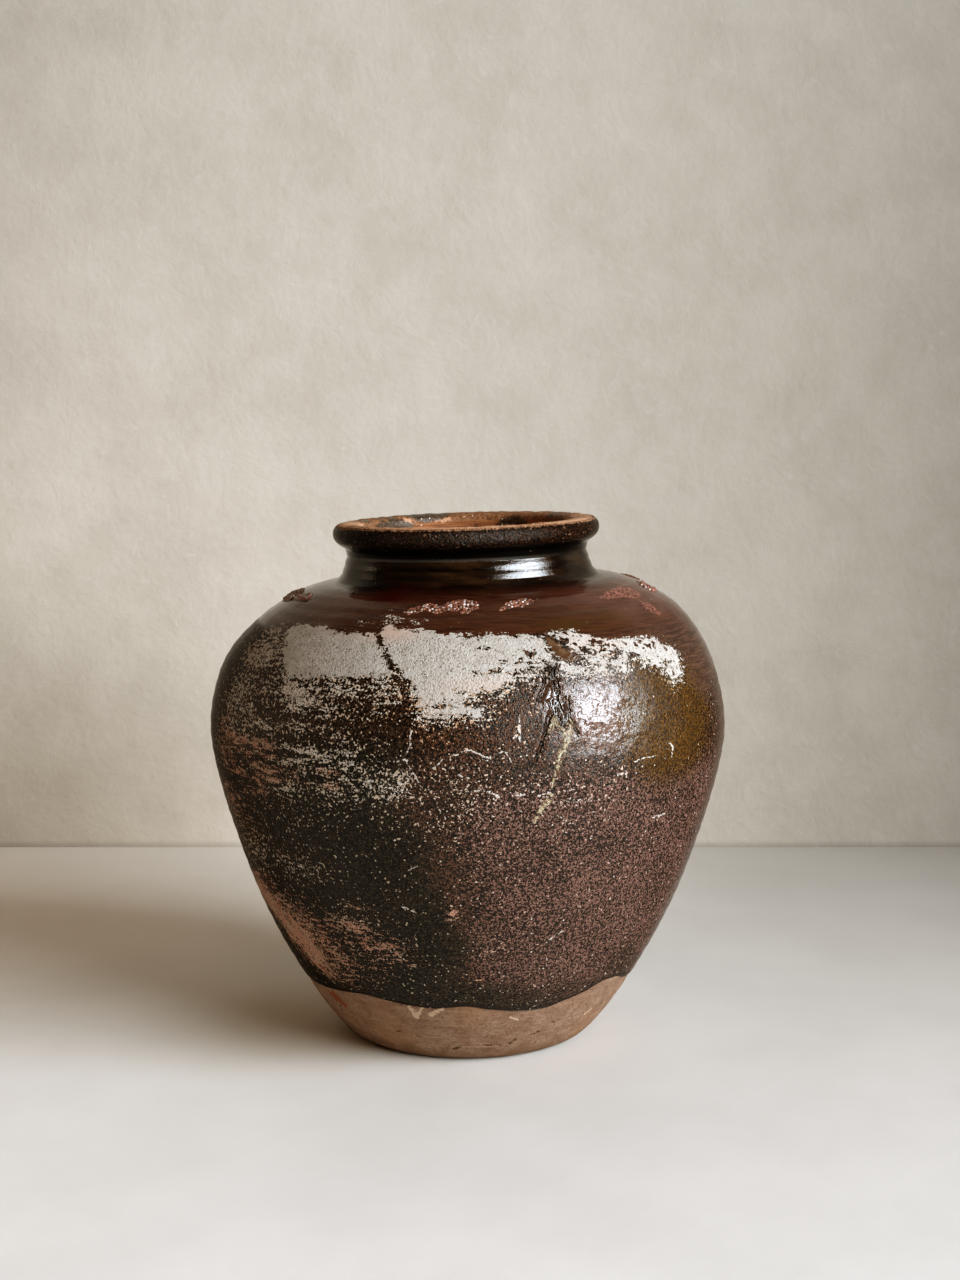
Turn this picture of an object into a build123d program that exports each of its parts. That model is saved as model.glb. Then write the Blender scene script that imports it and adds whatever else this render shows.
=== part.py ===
from build123d import *
import math
import os

# Storage jar of the martaban kind: wheel-made stoneware, high round shoulder, short neck, rolled rim.
# Millimetres. The axis of the body is Z, the foot rests on z = 0, the side that was studied faces -Y.

# ---- driving dimensions -------------------------------------------------------------------------
GLAZE = 0.8            # thickness of the glass coat
TILT = 1.9             # degrees: the mouth leans
TOWARD = 10.0          # degrees from +X towards +Y: the side of the mouth that is the highest
SHIFT = 0.4            # the leaning mouth sits this much off the axis, towards +X
SEAM_BASE = 11.0       # foot slab / lower wall
SEAM_BELLY = 180.0     # lower wall / shoulder, at the widest place
Z_LEAN = 250.0         # above this height everything leans by the full TILT
SEAM_NECK = 266.0      # shoulder / neck collar
SEAM_RIM = 286.0       # neck collar / rim
MOUTH_R = 59.5         # straight inner wall of neck and rim
GLAZE_END = 40.0       # the coat stops this high above the ground, the foot stays bare

# outer surface of the glazed jar, (height, radius), up to the belly
BELLY_OUT = [(11, 80.3), (18, 85.6), (30, 93.7), (45, 103.0), (60, 111.4), (75, 118.6), (90, 125.0),
             (105, 130.6), (120, 135.6), (135, 140.3), (150, 144.5), (165, 148.0), (174, 149.5), (180, 149.95)]
# the same from the belly to the height where the lean is complete
SHOULDER_OUT = [(180, 149.95), (183, 150.0), (195, 149.0), (210, 145.5), (225, 139.5), (236, 132.3), (244, 125.0), (250, 118.3)]
# from there to the crease at the neck, in the leaning frame
CROWN_OUT = [(250, 118.3), (256, 108.9), (261, 99.6), (264, 91.6), (266, 83.0)]
# short neck, faintly waisted, with one soft ridge
NECK_OUT = [(266, 83.0), (266.5, 79.2), (267.2, 76.4), (268.2, 74.7), (269.5, 73.8), (271.0, 72.9), (272.5, 72.0), (274.2, 71.2), (276.8, 71.0), (279.3, 70.2), (281.6, 69.2), (283.6, 69.3), (286, 71.2)]
# rolled rim: the glass surface, the clay under it, and the worn bare clay from its outer edge over the top to the mouth
RIM_ROLL = [(286, 71.2), (287.4, 73.2), (289.2, 75.3), (291.6, 76.9), (294.4, 77.3), (297.2, 76.6), (299.4, 74.5)]
RIM_CLAY = [(286, 70.2), (287.9, 72.6), (289.8, 74.6), (291.9, 76.0), (294.4, 76.5), (296.9, 75.8), (299.0, 73.7)]
RIM_CROWN = [(299.0, 73.7), (300.0, 71.6), (300.3, 69.0), (299.8, 64.0), (298.9, 61.2), (297.2, 59.8), (295.6, MOUTH_R)]
# inner surface of the wall
BELLY_IN = [(11, 68.5), (18, 74.8), (30, 83.4), (60, 101.6), (90, 115.9), (120, 127.0), (150, 136.2), (180, 141.4)]
SHOULDER_IN = [(180, 141.4), (183, 141.45), (195, 140.3), (210, 136.2), (225, 129.2), (236, 120.4), (244, 111.4), (250, 102.6)]
CROWN_IN = [(250, 102.6), (254, 94.0), (257.5, 83.0), (260, 71.0), (262.5, 62.5), (266, MOUTH_R)]

# four lost lugs, each left as two rough roots: (direction from the front in degrees, towards +X)
LUGS = {"lug_roots_front": 5.0, "lug_roots_right": 95.0, "lug_roots_back": 185.0, "lug_roots_left": 275.0}
LUG_HALF = 11.0        # degrees from the middle of a lug to each of its roots
LUG_R, LUG_Z = 100.6, 260.5
ROOT_LONG, ROOT_THICK, ROOT_SUNK = 15.0, 5.0, 3.4

os.makedirs("parts", exist_ok=True)

s, c = math.sin(math.radians(TILT)), math.cos(math.radians(TILT))
ts, tc = math.sin(math.radians(TOWARD)), math.cos(math.radians(TOWARD))


def lean(z):
    """Share of the full lean that a level section has at this height."""
    k = min(max((z - SEAM_BELLY) / (Z_LEAN - SEAM_BELLY), 0.0), 1.0) ** 2
    return k * k * (3 - 2 * k)


def level(z):
    """Plane of the section that cuts the axis at height z."""
    a = math.radians(TILT * lean(z))
    return Plane(origin=(SHIFT * lean(z), 0, z), x_dir=(math.cos(a) * tc, math.cos(a) * ts, math.sin(a)),
                 z_dir=(-math.sin(a) * tc, -math.sin(a) * ts, math.cos(a)))


UPRIGHT = Plane(origin=(0, 0, 0), x_dir=(tc, ts, 0), z_dir=(ts, -tc, 0))
# radial section plane of the leaning mouth: local x is the radius, local y is the height above the origin
LEANING = Plane(origin=(SHIFT, 0, Z_LEAN), x_dir=(c * tc, c * ts, s), z_dir=(ts, -tc, 0))
MOUTH_AXIS = Axis(origin=(SHIFT, 0, Z_LEAN), direction=(-s * tc, -s * ts, c))


def up(points, base=0.0):
    """(height, radius) rows as (radius, height) points."""
    return [(r, z - base) for z, r in points]


def leaned(x, y, z):
    """A direction of the upright frame as it stands in the leaning frame."""
    u, v = x * tc + y * ts, -x * ts + y * tc
    w = u * c - z * s
    return w * tc - v * ts, w * ts + v * tc, u * s + z * c


def mouth_point(angle, radius, height):
    """A point of the leaning frame in row coordinates. angle runs from the front (-Y) towards +X."""
    a = math.radians(angle)
    x, y, z = leaned(radius * math.sin(a), -radius * math.cos(a), height - Z_LEAN)
    return Vector(x + SHIFT, y, z + Z_LEAN)


def mouth_vector(angle, out, along, height):
    """A direction of the leaning frame: outwards, along the circle, and up the axis."""
    a = math.radians(angle)
    return Vector(*leaned(out * math.sin(a) + along * math.cos(a), -out * math.cos(a) + along * math.sin(a), height))


def clay_under(points):
    """The clay surface that lies GLAZE under a glazed outline, measured square to it."""
    rows = []
    for i, (z, r) in enumerate(points):
        a, b = points[max(i - 1, 0)], points[min(i + 1, len(points) - 1)]
        slope = (b[1] - a[1]) / (b[0] - a[0])
        share = min(max((z - 30) / 10.0, 0.0), 1.0)
        rows.append((z, r - share * GLAZE * math.sqrt(1 + slope * slope)))
    return rows


outline = BELLY_OUT + SHOULDER_OUT[1:] + CROWN_OUT[1:] + NECK_OUT[1:]
CLAY = clay_under(outline)
BELLY_CLAY = [p for p in CLAY if p[0] <= SEAM_BELLY]
SHOULDER_CLAY = [p for p in CLAY if SEAM_BELLY <= p[0] <= Z_LEAN]
CROWN_CLAY = [p for p in CLAY if Z_LEAN <= p[0] <= SEAM_NECK]
NECK_CLAY = [p for p in CLAY if p[0] >= SEAM_NECK]
# the clay turns the corner at the foot of the neck a little rounder than the glass over it
NECK_CLAY[1:-1] = [(266.7, 76.2), (267.6, 74.5), (268.8, 73.4), (270.3, 72.4), (272.0, 71.4), (274.0, 70.4), (276.8, 70.2), (279.3, 69.3), (281.6, 68.4), (283.6, 68.5)]
RIM_CLAY[0] = NECK_CLAY[-1]

# ---- foot slab: flat underside, rounded edge ----------------------------------------------------
FOOT_EDGE = [(0, 66.0), (1.0, 69.6), (3.2, 73.2), (7.0, 77.0), (11, 80.3)]
with BuildPart() as base_slab:
    with BuildSketch(UPRIGHT):
        with BuildLine():
            Polyline((0, 0), (66.0, 0))
            Spline(*up(FOOT_EDGE))
            Polyline((80.3, SEAM_BASE), (0, SEAM_BASE), (0, 0))
        make_face()
    revolve(axis=Axis.Z)

# ---- lower wall: from the slab to the belly seam ------------------------------------------------
with BuildPart() as lower_wall:
    with BuildSketch(UPRIGHT):
        with BuildLine():
            Spline(*up(BELLY_CLAY))
            Line((BELLY_CLAY[-1][1], SEAM_BELLY), (BELLY_IN[-1][1], SEAM_BELLY))
            Spline(*reversed(up(BELLY_IN)))
            Line((BELLY_IN[0][1], SEAM_BASE), (80.3, SEAM_BASE))
        make_face()
    revolve(axis=Axis.Z)


# ---- shoulder: level sections that lean more and more, then a turned crown ----------------------
with BuildPart() as shoulder_hollow:
    for z, r in SHOULDER_IN:
        with BuildSketch(level(z)):
            Circle(r)
    loft()
    with BuildSketch(LEANING):
        with BuildLine():
            Spline(*up(CROWN_IN, Z_LEAN))
            Polyline((MOUTH_R, SEAM_NECK - Z_LEAN), (0, SEAM_NECK - Z_LEAN), (0, 0), (CROWN_IN[0][1], 0))
        make_face()
    revolve(axis=MOUTH_AXIS)

with BuildPart() as shoulder_wall:
    for z, r in SHOULDER_CLAY:
        with BuildSketch(level(z)):
            Circle(r)
    loft()
    with BuildSketch(LEANING):
        with BuildLine():
            Spline(*up(CROWN_CLAY, Z_LEAN))
            Polyline((CROWN_CLAY[-1][1], SEAM_NECK - Z_LEAN), (0, SEAM_NECK - Z_LEAN), (0, 0), (CROWN_CLAY[0][1], 0))
        make_face()
    revolve(axis=MOUTH_AXIS)
    add(shoulder_hollow.part, mode=Mode.SUBTRACT)

# ---- neck collar --------------------------------------------------------------------------------
with BuildPart() as neck_collar:
    with BuildSketch(LEANING):
        with BuildLine():
            Spline(*up(NECK_CLAY, Z_LEAN))
            Polyline((NECK_CLAY[-1][1], SEAM_RIM - Z_LEAN), (MOUTH_R, SEAM_RIM - Z_LEAN),
                     (MOUTH_R, SEAM_NECK - Z_LEAN), (NECK_CLAY[0][1], SEAM_NECK - Z_LEAN))
        make_face()
    revolve(axis=MOUTH_AXIS)

# ---- rim: a thick roll, its top worn and sloping inwards ----------------------------------------
with BuildPart() as rim_lip:
    with BuildSketch(LEANING):
        with BuildLine():
            Spline(*up(RIM_CLAY, Z_LEAN))
            Spline(*up(RIM_CROWN, Z_LEAN))
            Polyline((MOUTH_R, RIM_CROWN[-1][0] - Z_LEAN), (MOUTH_R, SEAM_RIM - Z_LEAN), (RIM_CLAY[0][1], SEAM_RIM - Z_LEAN))
        make_face()
    revolve(axis=MOUTH_AXIS)

# ---- lug roots: what is left of four horizontal lugs that broke off -----------------------------
normal_out, normal_up = 0.47, 0.883
roots = {}
for name, middle in LUGS.items():
    with BuildPart() as root:
        for side in (-LUG_HALF, LUG_HALF):
            angle = middle + side
            at = mouth_point(angle, LUG_R - ROOT_SUNK * normal_out, LUG_Z - ROOT_SUNK * normal_up)
            along = mouth_vector(angle, 0, 1, 0)
            out = mouth_vector(angle, normal_out, 0, normal_up)
            with BuildSketch(Plane(origin=at, x_dir=along, z_dir=along.cross(out))):
                Ellipse(ROOT_LONG, ROOT_THICK)
                with Locations((0, -ROOT_THICK)):
                    Rectangle(4 * ROOT_LONG, 2 * ROOT_THICK, mode=Mode.SUBTRACT)
            revolve(axis=Axis(origin=at, direction=along))
        add(shoulder_wall.part, mode=Mode.SUBTRACT)
    roots[name] = root.part

# ---- glaze coat: one skin of glass from the rim's outer edge down to a line above the foot ------
with BuildPart() as glaze_coat:
    with BuildSketch(UPRIGHT):
        with BuildLine():
            Spline(*up([p for p in BELLY_OUT if p[0] >= 30]))
            Polyline((BELLY_OUT[-1][1], SEAM_BELLY), (0, SEAM_BELLY), (0, 30), (93.7, 30))
        make_face()
    revolve(axis=Axis.Z)
    for z, r in SHOULDER_OUT:
        with BuildSketch(level(z)):
            Circle(r)
    loft()
    with BuildSketch(LEANING):
        with BuildLine():
            Spline(*up(CROWN_OUT, Z_LEAN))
            Spline(*up(NECK_OUT, Z_LEAN))
            Spline(*up(RIM_ROLL, Z_LEAN))
            Polyline((RIM_ROLL[-1][1], RIM_ROLL[-1][0] - Z_LEAN), (0, RIM_ROLL[-1][0] - Z_LEAN), (0, 0), (CROWN_OUT[0][1], 0))
        make_face()
    revolve(axis=MOUTH_AXIS)
    with BuildSketch(Plane.XY):
        Circle(170)
    extrude(amount=GLAZE_END, mode=Mode.SUBTRACT)
    # the clay and the hollow, taken out of the glass
    with BuildSketch(UPRIGHT):
        with BuildLine():
            Spline(*up(BELLY_CLAY))
            Polyline((BELLY_CLAY[-1][1], SEAM_BELLY), (0, SEAM_BELLY), (0, SEAM_BASE), (80.3, SEAM_BASE))
        make_face()
    revolve(axis=Axis.Z, mode=Mode.SUBTRACT)
    add(shoulder_wall.part, mode=Mode.SUBTRACT)
    add(shoulder_hollow.part, mode=Mode.SUBTRACT)
    add(neck_collar.part, mode=Mode.SUBTRACT)
    add(rim_lip.part, mode=Mode.SUBTRACT)
    with BuildSketch(LEANING):
        with BuildLine():
            Polyline((0, SEAM_NECK - Z_LEAN), (MOUTH_R, SEAM_NECK - Z_LEAN), (MOUTH_R, 290 - Z_LEAN), (68, 290 - Z_LEAN),
                     (68, 310 - Z_LEAN), (0, 310 - Z_LEAN), (0, SEAM_NECK - Z_LEAN))
        make_face()
    revolve(axis=MOUTH_AXIS, mode=Mode.SUBTRACT)
    for part in roots.values():
        add(part, mode=Mode.SUBTRACT)

nodes = {
    "base_slab": base_slab.part,
    "lower_wall": lower_wall.part,
    "shoulder_wall": shoulder_wall.part,
    "neck_collar": neck_collar.part,
    "rim_lip": rim_lip.part,
    "glaze_coat": glaze_coat.part,
}
nodes.update(roots)
for name, shape in nodes.items():
    shape.label = name
    export_step(shape, f"parts/{name}.step")
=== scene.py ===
import bpy
import math
import numpy as np
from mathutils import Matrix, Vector


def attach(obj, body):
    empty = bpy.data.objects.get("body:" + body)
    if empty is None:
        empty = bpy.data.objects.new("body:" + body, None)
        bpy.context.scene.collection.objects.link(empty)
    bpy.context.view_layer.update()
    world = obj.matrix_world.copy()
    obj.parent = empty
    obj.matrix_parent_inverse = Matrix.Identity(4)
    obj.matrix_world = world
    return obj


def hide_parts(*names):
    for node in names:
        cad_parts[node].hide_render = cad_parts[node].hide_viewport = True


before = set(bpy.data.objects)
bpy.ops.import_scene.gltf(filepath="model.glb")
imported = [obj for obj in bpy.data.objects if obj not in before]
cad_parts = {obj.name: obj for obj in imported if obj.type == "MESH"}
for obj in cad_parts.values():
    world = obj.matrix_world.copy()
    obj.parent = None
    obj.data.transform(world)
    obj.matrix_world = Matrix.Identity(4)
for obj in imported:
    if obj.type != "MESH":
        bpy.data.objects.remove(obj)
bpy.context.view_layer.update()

# =================================================================================================
# 1. The jar's form. Millimetres. An outline is a list of (height, radius), angles run from the
#    front (-Y) towards +X, heights are those before the mouth's lean is applied.
# =================================================================================================
GLAZE = 0.8
TILT, TOWARD, SHIFT = math.radians(1.9), math.radians(10.0), 0.4
FOOT_EDGE = [(0, 66.0), (1.0, 69.6), (3.2, 73.2), (7.0, 77.0), (11, 80.3)]
BELLY = [(11, 80.3), (18, 85.6), (30, 93.7), (45, 103.0), (60, 111.4), (75, 118.6), (90, 125.0),
         (105, 130.6), (120, 135.6), (135, 140.3), (150, 144.5), (165, 148.0), (174, 149.5), (180, 149.95)]
SHOULDER = [(180, 149.95), (183, 150.0), (195, 149.0), (210, 145.5), (225, 139.5), (236, 132.3), (244, 125.0), (250, 118.3)]
CROWN = [(250, 118.3), (256, 108.9), (261, 99.6), (264, 91.6), (266, 83.0)]
NECK = [(266, 83.0), (266.5, 79.2), (267.2, 76.4), (268.2, 74.7), (269.5, 73.8), (271.0, 72.9), (272.5, 72.0), (274.2, 71.2), (276.8, 71.0), (279.3, 70.2), (281.6, 69.2), (283.6, 69.3), (286, 71.2)]
RIM_ROLL = [(286, 71.2), (287.4, 73.2), (289.2, 75.3), (291.6, 76.9), (294.4, 77.3), (297.2, 76.6), (299.4, 74.5)]
RIM_CLAY = [(286, 70.18), (287.9, 72.6), (289.8, 74.6), (291.9, 76.0), (294.4, 76.5), (296.9, 75.8), (299.0, 73.7)]
RIM_CROWN = [(299.0, 73.7), (300.0, 71.6), (300.3, 69.0), (299.8, 64.0), (298.9, 61.2), (297.2, 59.8), (295.6, 59.5)]
BELLY_IN = [(11, 68.5), (18, 74.8), (30, 83.4), (60, 101.6), (90, 115.9), (120, 127.0), (150, 136.2), (180, 141.4)]
SHOULDER_IN = [(180, 141.4), (183, 141.45), (195, 140.3), (210, 136.2), (225, 129.2), (236, 120.4), (244, 111.4), (250, 102.6),
               (254, 94.0), (257.5, 83.0), (260, 71.0), (262.5, 62.5), (266, 59.5)]


def spline(rows, step=0.25):
    """A smooth curve through (height, radius) rows, as dense (radius, height) points."""
    p = np.array([(r, z) for z, r in rows], float)
    t = np.concatenate([[0], np.cumsum(np.linalg.norm(np.diff(p, axis=0), axis=1))])
    n = len(t)
    h = np.diff(t)
    a = np.zeros((n, n))
    b = np.zeros((n, 2))
    a[0, 0] = a[-1, -1] = 1
    for i in range(1, n - 1):
        a[i, i - 1:i + 2] = h[i - 1], 2 * (h[i - 1] + h[i]), h[i]
        b[i] = 6 * ((p[i + 1] - p[i]) / h[i] - (p[i] - p[i - 1]) / h[i - 1])
    m = np.linalg.solve(a, b)
    q = np.linspace(0, t[-1], max(int(t[-1] / step), 3))
    k = np.clip(np.searchsorted(t, q, side="right") - 1, 0, n - 2)
    u, v = (q - t[k])[:, None], (t[k + 1] - q)[:, None]
    hk = h[k][:, None]
    return (m[k] * v ** 3 + m[k + 1] * u ** 3) / (6 * hk) + (p[k] / hk - m[k] * hk / 6) * v + (p[k + 1] / hk - m[k + 1] * hk / 6) * u


def chain(*curves):
    out = [curves[0]]
    for c in curves[1:]:
        out.append(c[1:] if np.linalg.norm(out[-1][-1] - c[0]) < 1e-3 else c)
    return np.concatenate(out)


def length_of(curve):
    return np.concatenate([[0], np.cumsum(np.linalg.norm(np.diff(curve, axis=0), axis=1))])


def normals_of(curve):
    """Unit normals that point away from the axis where the curve climbs."""
    d = np.gradient(curve, axis=0)
    n = np.stack([d[:, 1], -d[:, 0]], -1)
    return n / np.maximum(np.linalg.norm(n, axis=1, keepdims=True), 1e-9)


OUT = chain(spline(FOOT_EDGE), spline(BELLY + SHOULDER[1:] + CROWN[1:] + NECK[1:]), spline(RIM_ROLL))
OUT_S = length_of(OUT)
# height is a good parameter up to the rim, because the outline never sinks
Z_UP = np.maximum.accumulate(OUT[:, 1]) + np.arange(len(OUT)) * 1e-7


def s_of(z):
    """Length along the outline, from the ground, at a height."""
    return np.interp(z, Z_UP, OUT_S)


def r_of(z):
    return np.interp(z, Z_UP, OUT[:, 0])


def lean(z):
    k = np.clip((z - 180.0) / 70.0, 0, 1) ** 2
    return k * k * (3 - 2 * k)


def place(phi, r, z):
    """Points in metres, in the row frame, with the lean of the mouth."""
    x, y = r * np.sin(phi), -r * np.cos(phi)
    tc, ts = math.cos(TOWARD), math.sin(TOWARD)
    u, v = x * tc + y * ts, y * tc - x * ts
    a = TILT * lean(z)
    w = np.where(z > 250, u * math.cos(TILT) - (z - 250) * math.sin(TILT), u * np.cos(a))
    up = np.where(z > 250, 250 + u * math.sin(TILT) + (z - 250) * math.cos(TILT), z + u * np.sin(a))
    return np.stack([w * tc - v * ts + SHIFT * lean(z), w * ts + v * tc, up], -1) / 1000.0


# ---- smooth noise that is the same in every run ------------------------------------------------
_rng = np.random.RandomState(7)
_dirs = _rng.normal(size=(256, 3))
_dirs /= np.linalg.norm(_dirs, axis=1, keepdims=True)


def perlin(p, seed=0):
    p = np.asarray(p, float)
    i = np.floor(p).astype(np.int64)
    f = p - i
    u = f * f * f * (f * (f * 6 - 15) + 10)
    total = 0
    for dx in (0, 1):
        for dy in (0, 1):
            for dz in (0, 1):
                h = (i[..., 0] + dx) * 73856093 ^ (i[..., 1] + dy) * 19349663 ^ (i[..., 2] + dz) * 83492791 ^ (seed * 2654435761)
                h = (h ^ (h >> 13)) * 1274126177
                g = _dirs[(h ^ (h >> 16)) & 255]
                d = g[..., 0] * (f[..., 0] - dx) + g[..., 1] * (f[..., 1] - dy) + g[..., 2] * (f[..., 2] - dz)
                w = (u[..., 0] if dx else 1 - u[..., 0]) * (u[..., 1] if dy else 1 - u[..., 1]) * (u[..., 2] if dz else 1 - u[..., 2])
                total = total + w * d
    return total * 1.6


def fractal(p, seed=0, octaves=3, fall=0.5):
    out, amp, k = 0, 1.0, 1.0
    for o in range(octaves):
        out = out + amp * perlin(p * k, seed + 17 * o)
        amp *= fall
        k *= 2.03
    return out


def ramp(x, lo, hi):
    k = np.clip((x - lo) / (hi - lo), 0, 1)
    return k * k * (3 - 2 * k)


# =================================================================================================
# 2. Where the marks of age lie, as outlines and spots in (angle in degrees, height in mm)
# =================================================================================================
LIME = [
    [(-51.5, 242.1), (-53.5, 246.8), (-52.8, 250.8), (-48.2, 250.4), (-41.5, 250.6), (-34.3, 248.9), (-30.3, 248.2), (-26.4, 248.9),
     (-22.8, 248.1), (-22.3, 244.8), (-20.5, 241.1), (-18.9, 237.8), (-17.9, 235.0), (-16.8, 231.7), (-16.9, 227.8), (-19.2, 225.7),
     (-21.7, 227.4), (-24.0, 226.4), (-27.1, 225.5), (-30.5, 226.1), (-33.0, 225.8), (-35.9, 224.6), (-38.8, 222.6), (-41.6, 222.4),
     (-44.9, 227.6), (-48.3, 234.8)],
    [(-22.4, 250.8), (-20.7, 252.7), (-17.9, 250.5), (-13.3, 250.0), (-9.3, 249.5), (-6.7, 248.5), (-1.7, 248.7), (3.2, 247.5),
     (8.1, 247.5), (11.7, 245.8), (15.5, 245.9), (18.3, 244.6), (18.9, 240.8), (20.1, 236.8), (21.0, 233.4), (24.4, 231.4),
     (27.1, 228.1), (23.7, 226.4), (20.5, 228.7), (18.0, 232.0), (17.0, 229.7), (13.9, 226.3), (10.2, 226.4), (8.6, 224.6),
     (7.5, 220.4), (5.8, 219.5), (2.7, 219.8), (0.6, 217.0), (-1.0, 214.2), (1.8, 212.5), (4.0, 209.5), (2.6, 207.2),
     (-2.4, 209.3), (-3.4, 206.4), (-5.4, 205.4), (-7.4, 205.7), (-8.6, 208.3), (-9.5, 211.2), (-10.1, 218.6), (-11.5, 223.4),
     (-13.1, 227.9), (-15.2, 231.7), (-16.8, 235.5), (-18.5, 239.3), (-20.0, 242.6), (-21.4, 245.8)],
    [(20.5, 246.6), (22.4, 246.8), (26.7, 246.2), (28.5, 244.5), (31.1, 243.6), (33.4, 241.7), (36.1, 240.7), (39.3, 240.5),
     (43.2, 240.2), (45.6, 239.2), (49.0, 239.5), (51.7, 238.3), (52.5, 235.1), (56.0, 232.8), (56.9, 228.9), (56.6, 225.0),
     (55.7, 221.3), (54.3, 219.7), (52.4, 219.3), (51.0, 216.7), (49.9, 219.0), (49.4, 223.0), (48.0, 225.8), (44.6, 226.6),
     (43.1, 228.5), (42.6, 231.1), (41.3, 233.3), (38.7, 231.9), (37.1, 229.4), (37.6, 225.9), (36.7, 224.7), (35.8, 227.3),
     (33.2, 226.9), (29.8, 225.6), (28.6, 227.9), (28.6, 230.7), (28.1, 233.6), (26.6, 234.4), (25.5, 236.4), (24.5, 239.0),
     (23.0, 242.0), (21.9, 244.1)],
    # the far side
    [(96, 246), (104, 249), (118, 248), (128, 245), (134, 238), (131, 229), (122, 233), (115, 226), (106, 231), (98, 236)],
    [(148, 247), (160, 250), (176, 249), (188, 250), (196, 246), (199, 236), (190, 228), (181, 231), (174, 219), (165, 226), (156, 233), (150, 240)],
    [(222, 248), (231, 250), (243, 247), (250, 243), (254, 234), (246, 230), (238, 233), (229, 227), (223, 237)],
]
# dark glassy islands in the crust: angle, height, half width and half height in mm
ISLANDS = [(0.5, 246.3, 2.9, 1.2), (14.8, 237.0, 2.3, 2.0), (4.1, 240.5, 1.5, 1.0), (8.0, 233.7, 2.0, 1.0), (11.0, 233.3, 1.7, 0.9),
           (14.7, 233.4, 1.7, 0.8), (17.5, 233.4, 1.5, 0.7), (2.4, 229.6, 2.3, 0.6), (5.8, 229.8, 3.5, 0.7), (10.5, 229.1, 7.6, 0.6),
           (13.3, 230.7, 4.1, 0.6), (29.9, 239.5, 2.3, 1.2), (32.4, 239.5, 1.7, 1.0), (27.3, 236.5, 1.7, 1.2), (33.6, 233.0, 3.5, 1.2),
           (32.6, 229.4, 1.7, 1.3), (36.4, 233.9, 3.5, 2.9), (40.1, 231.6, 2.9, 2.9), (50.2, 226.8, 2.3, 1.2), (-6.0, 213.2, 5.2, 1.2),
           (-6.0, 208.8, 2.9, 1.2), (0.0, 219.5, 3.5, 1.2)]
# broken-up crust: angle, height, half width in degrees, half height in mm, how thick
SPECK = [(-21.5, 254.2, 3.5, 3.0, .50), (-13.5, 253.6, 3.0, 1.5, .40), (-30.0, 252.5, 4.0, 2.0, .30), (-56.3, 233.2, 9.0, 10.6, .58), (-58.3, 245.0, 7.0, 4.5, .50),
         (-47.8, 216.0, 7.6, 8.4, .40), (-40.5, 218.0, 5.5, 8.0, .56), (-37.3, 212.9, 6.5, 8.0, .62), (-28.3, 219.5, 11.0, 5.0, .50), (-30.0, 209.0, 9.0, 7.0, .40), (-17.3, 220.8, 4.9, 9.0, .50), (-36.0, 198.1, 6.8, 4.6, .45),
         (-21.0, 209.2, 6.7, 4.1, .34), (-7.3, 203.7, 5.0, 3.8, .28), (2.6, 210.0, 5.0, 3.8, .28), (-15.0, 168.4, 4.1, 6.4, .50), (-12.6, 177.2, 3.2, 4.2, .48),
         (-23.7, 179.7, 7.5, 4.1, .46), (-19.0, 172.1, 5.6, 5.4, .44), (-28.8, 165.1, 6.3, 4.5, .42), (-39.3, 163.5, 7.1, 4.6, .40), (-34.5, 186.7, 6.7, 1.8, .66),
         (-31.0, 183.8, 5.4, 2.3, .60), (-37.8, 179.3, 6.1, 2.2, .55), (-27.0, 187.4, 5.1, 2.2, .45), (-28.4, 196.1, 9.4, 6.3, .36), (-47.3, 196.5, 8.1, 4.4, .50),
         (-52.1, 200.5, 5.3, 5.4, .40), (-11.0, 164.6, 3.3, 4.4, .32), (10.9, 215.3, 8.2, 9.6, .12), (28.9, 217.3, 8.5, 11.7, .18), (35.3, 203.8, 5.2, 6.7, .30),
         (0.6, 165.2, 17.8, 21.7, .24), (18.9, 163.5, 13.0, 16.4, .24), (-57.7, 207.3, 7.5, 21.6, .46), (-24.0, 172.0, 14.0, 14.0, .34), (-38.0, 147.1, 9.0, 11.8, .20), (-58.5, 120.7, 9.3, 14.0, .30),
         (-41.8, 117.8, 8.7, 6.3, .34), (-30.0, 92.0, 8.0, 5.0, .26), (112.0, 214.0, 14.0, 14.0, .45), (168.0, 208.0, 18.0, 14.0, .40), (190.0, 182.0, 12.0, 8.0, .40),
         (236.0, 212.0, 14.0, 14.0, .45), (262.0, 190.0, 12.0, 16.0, .30), (140.0, 160.0, 14.0, 18.0, .20)]
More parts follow.
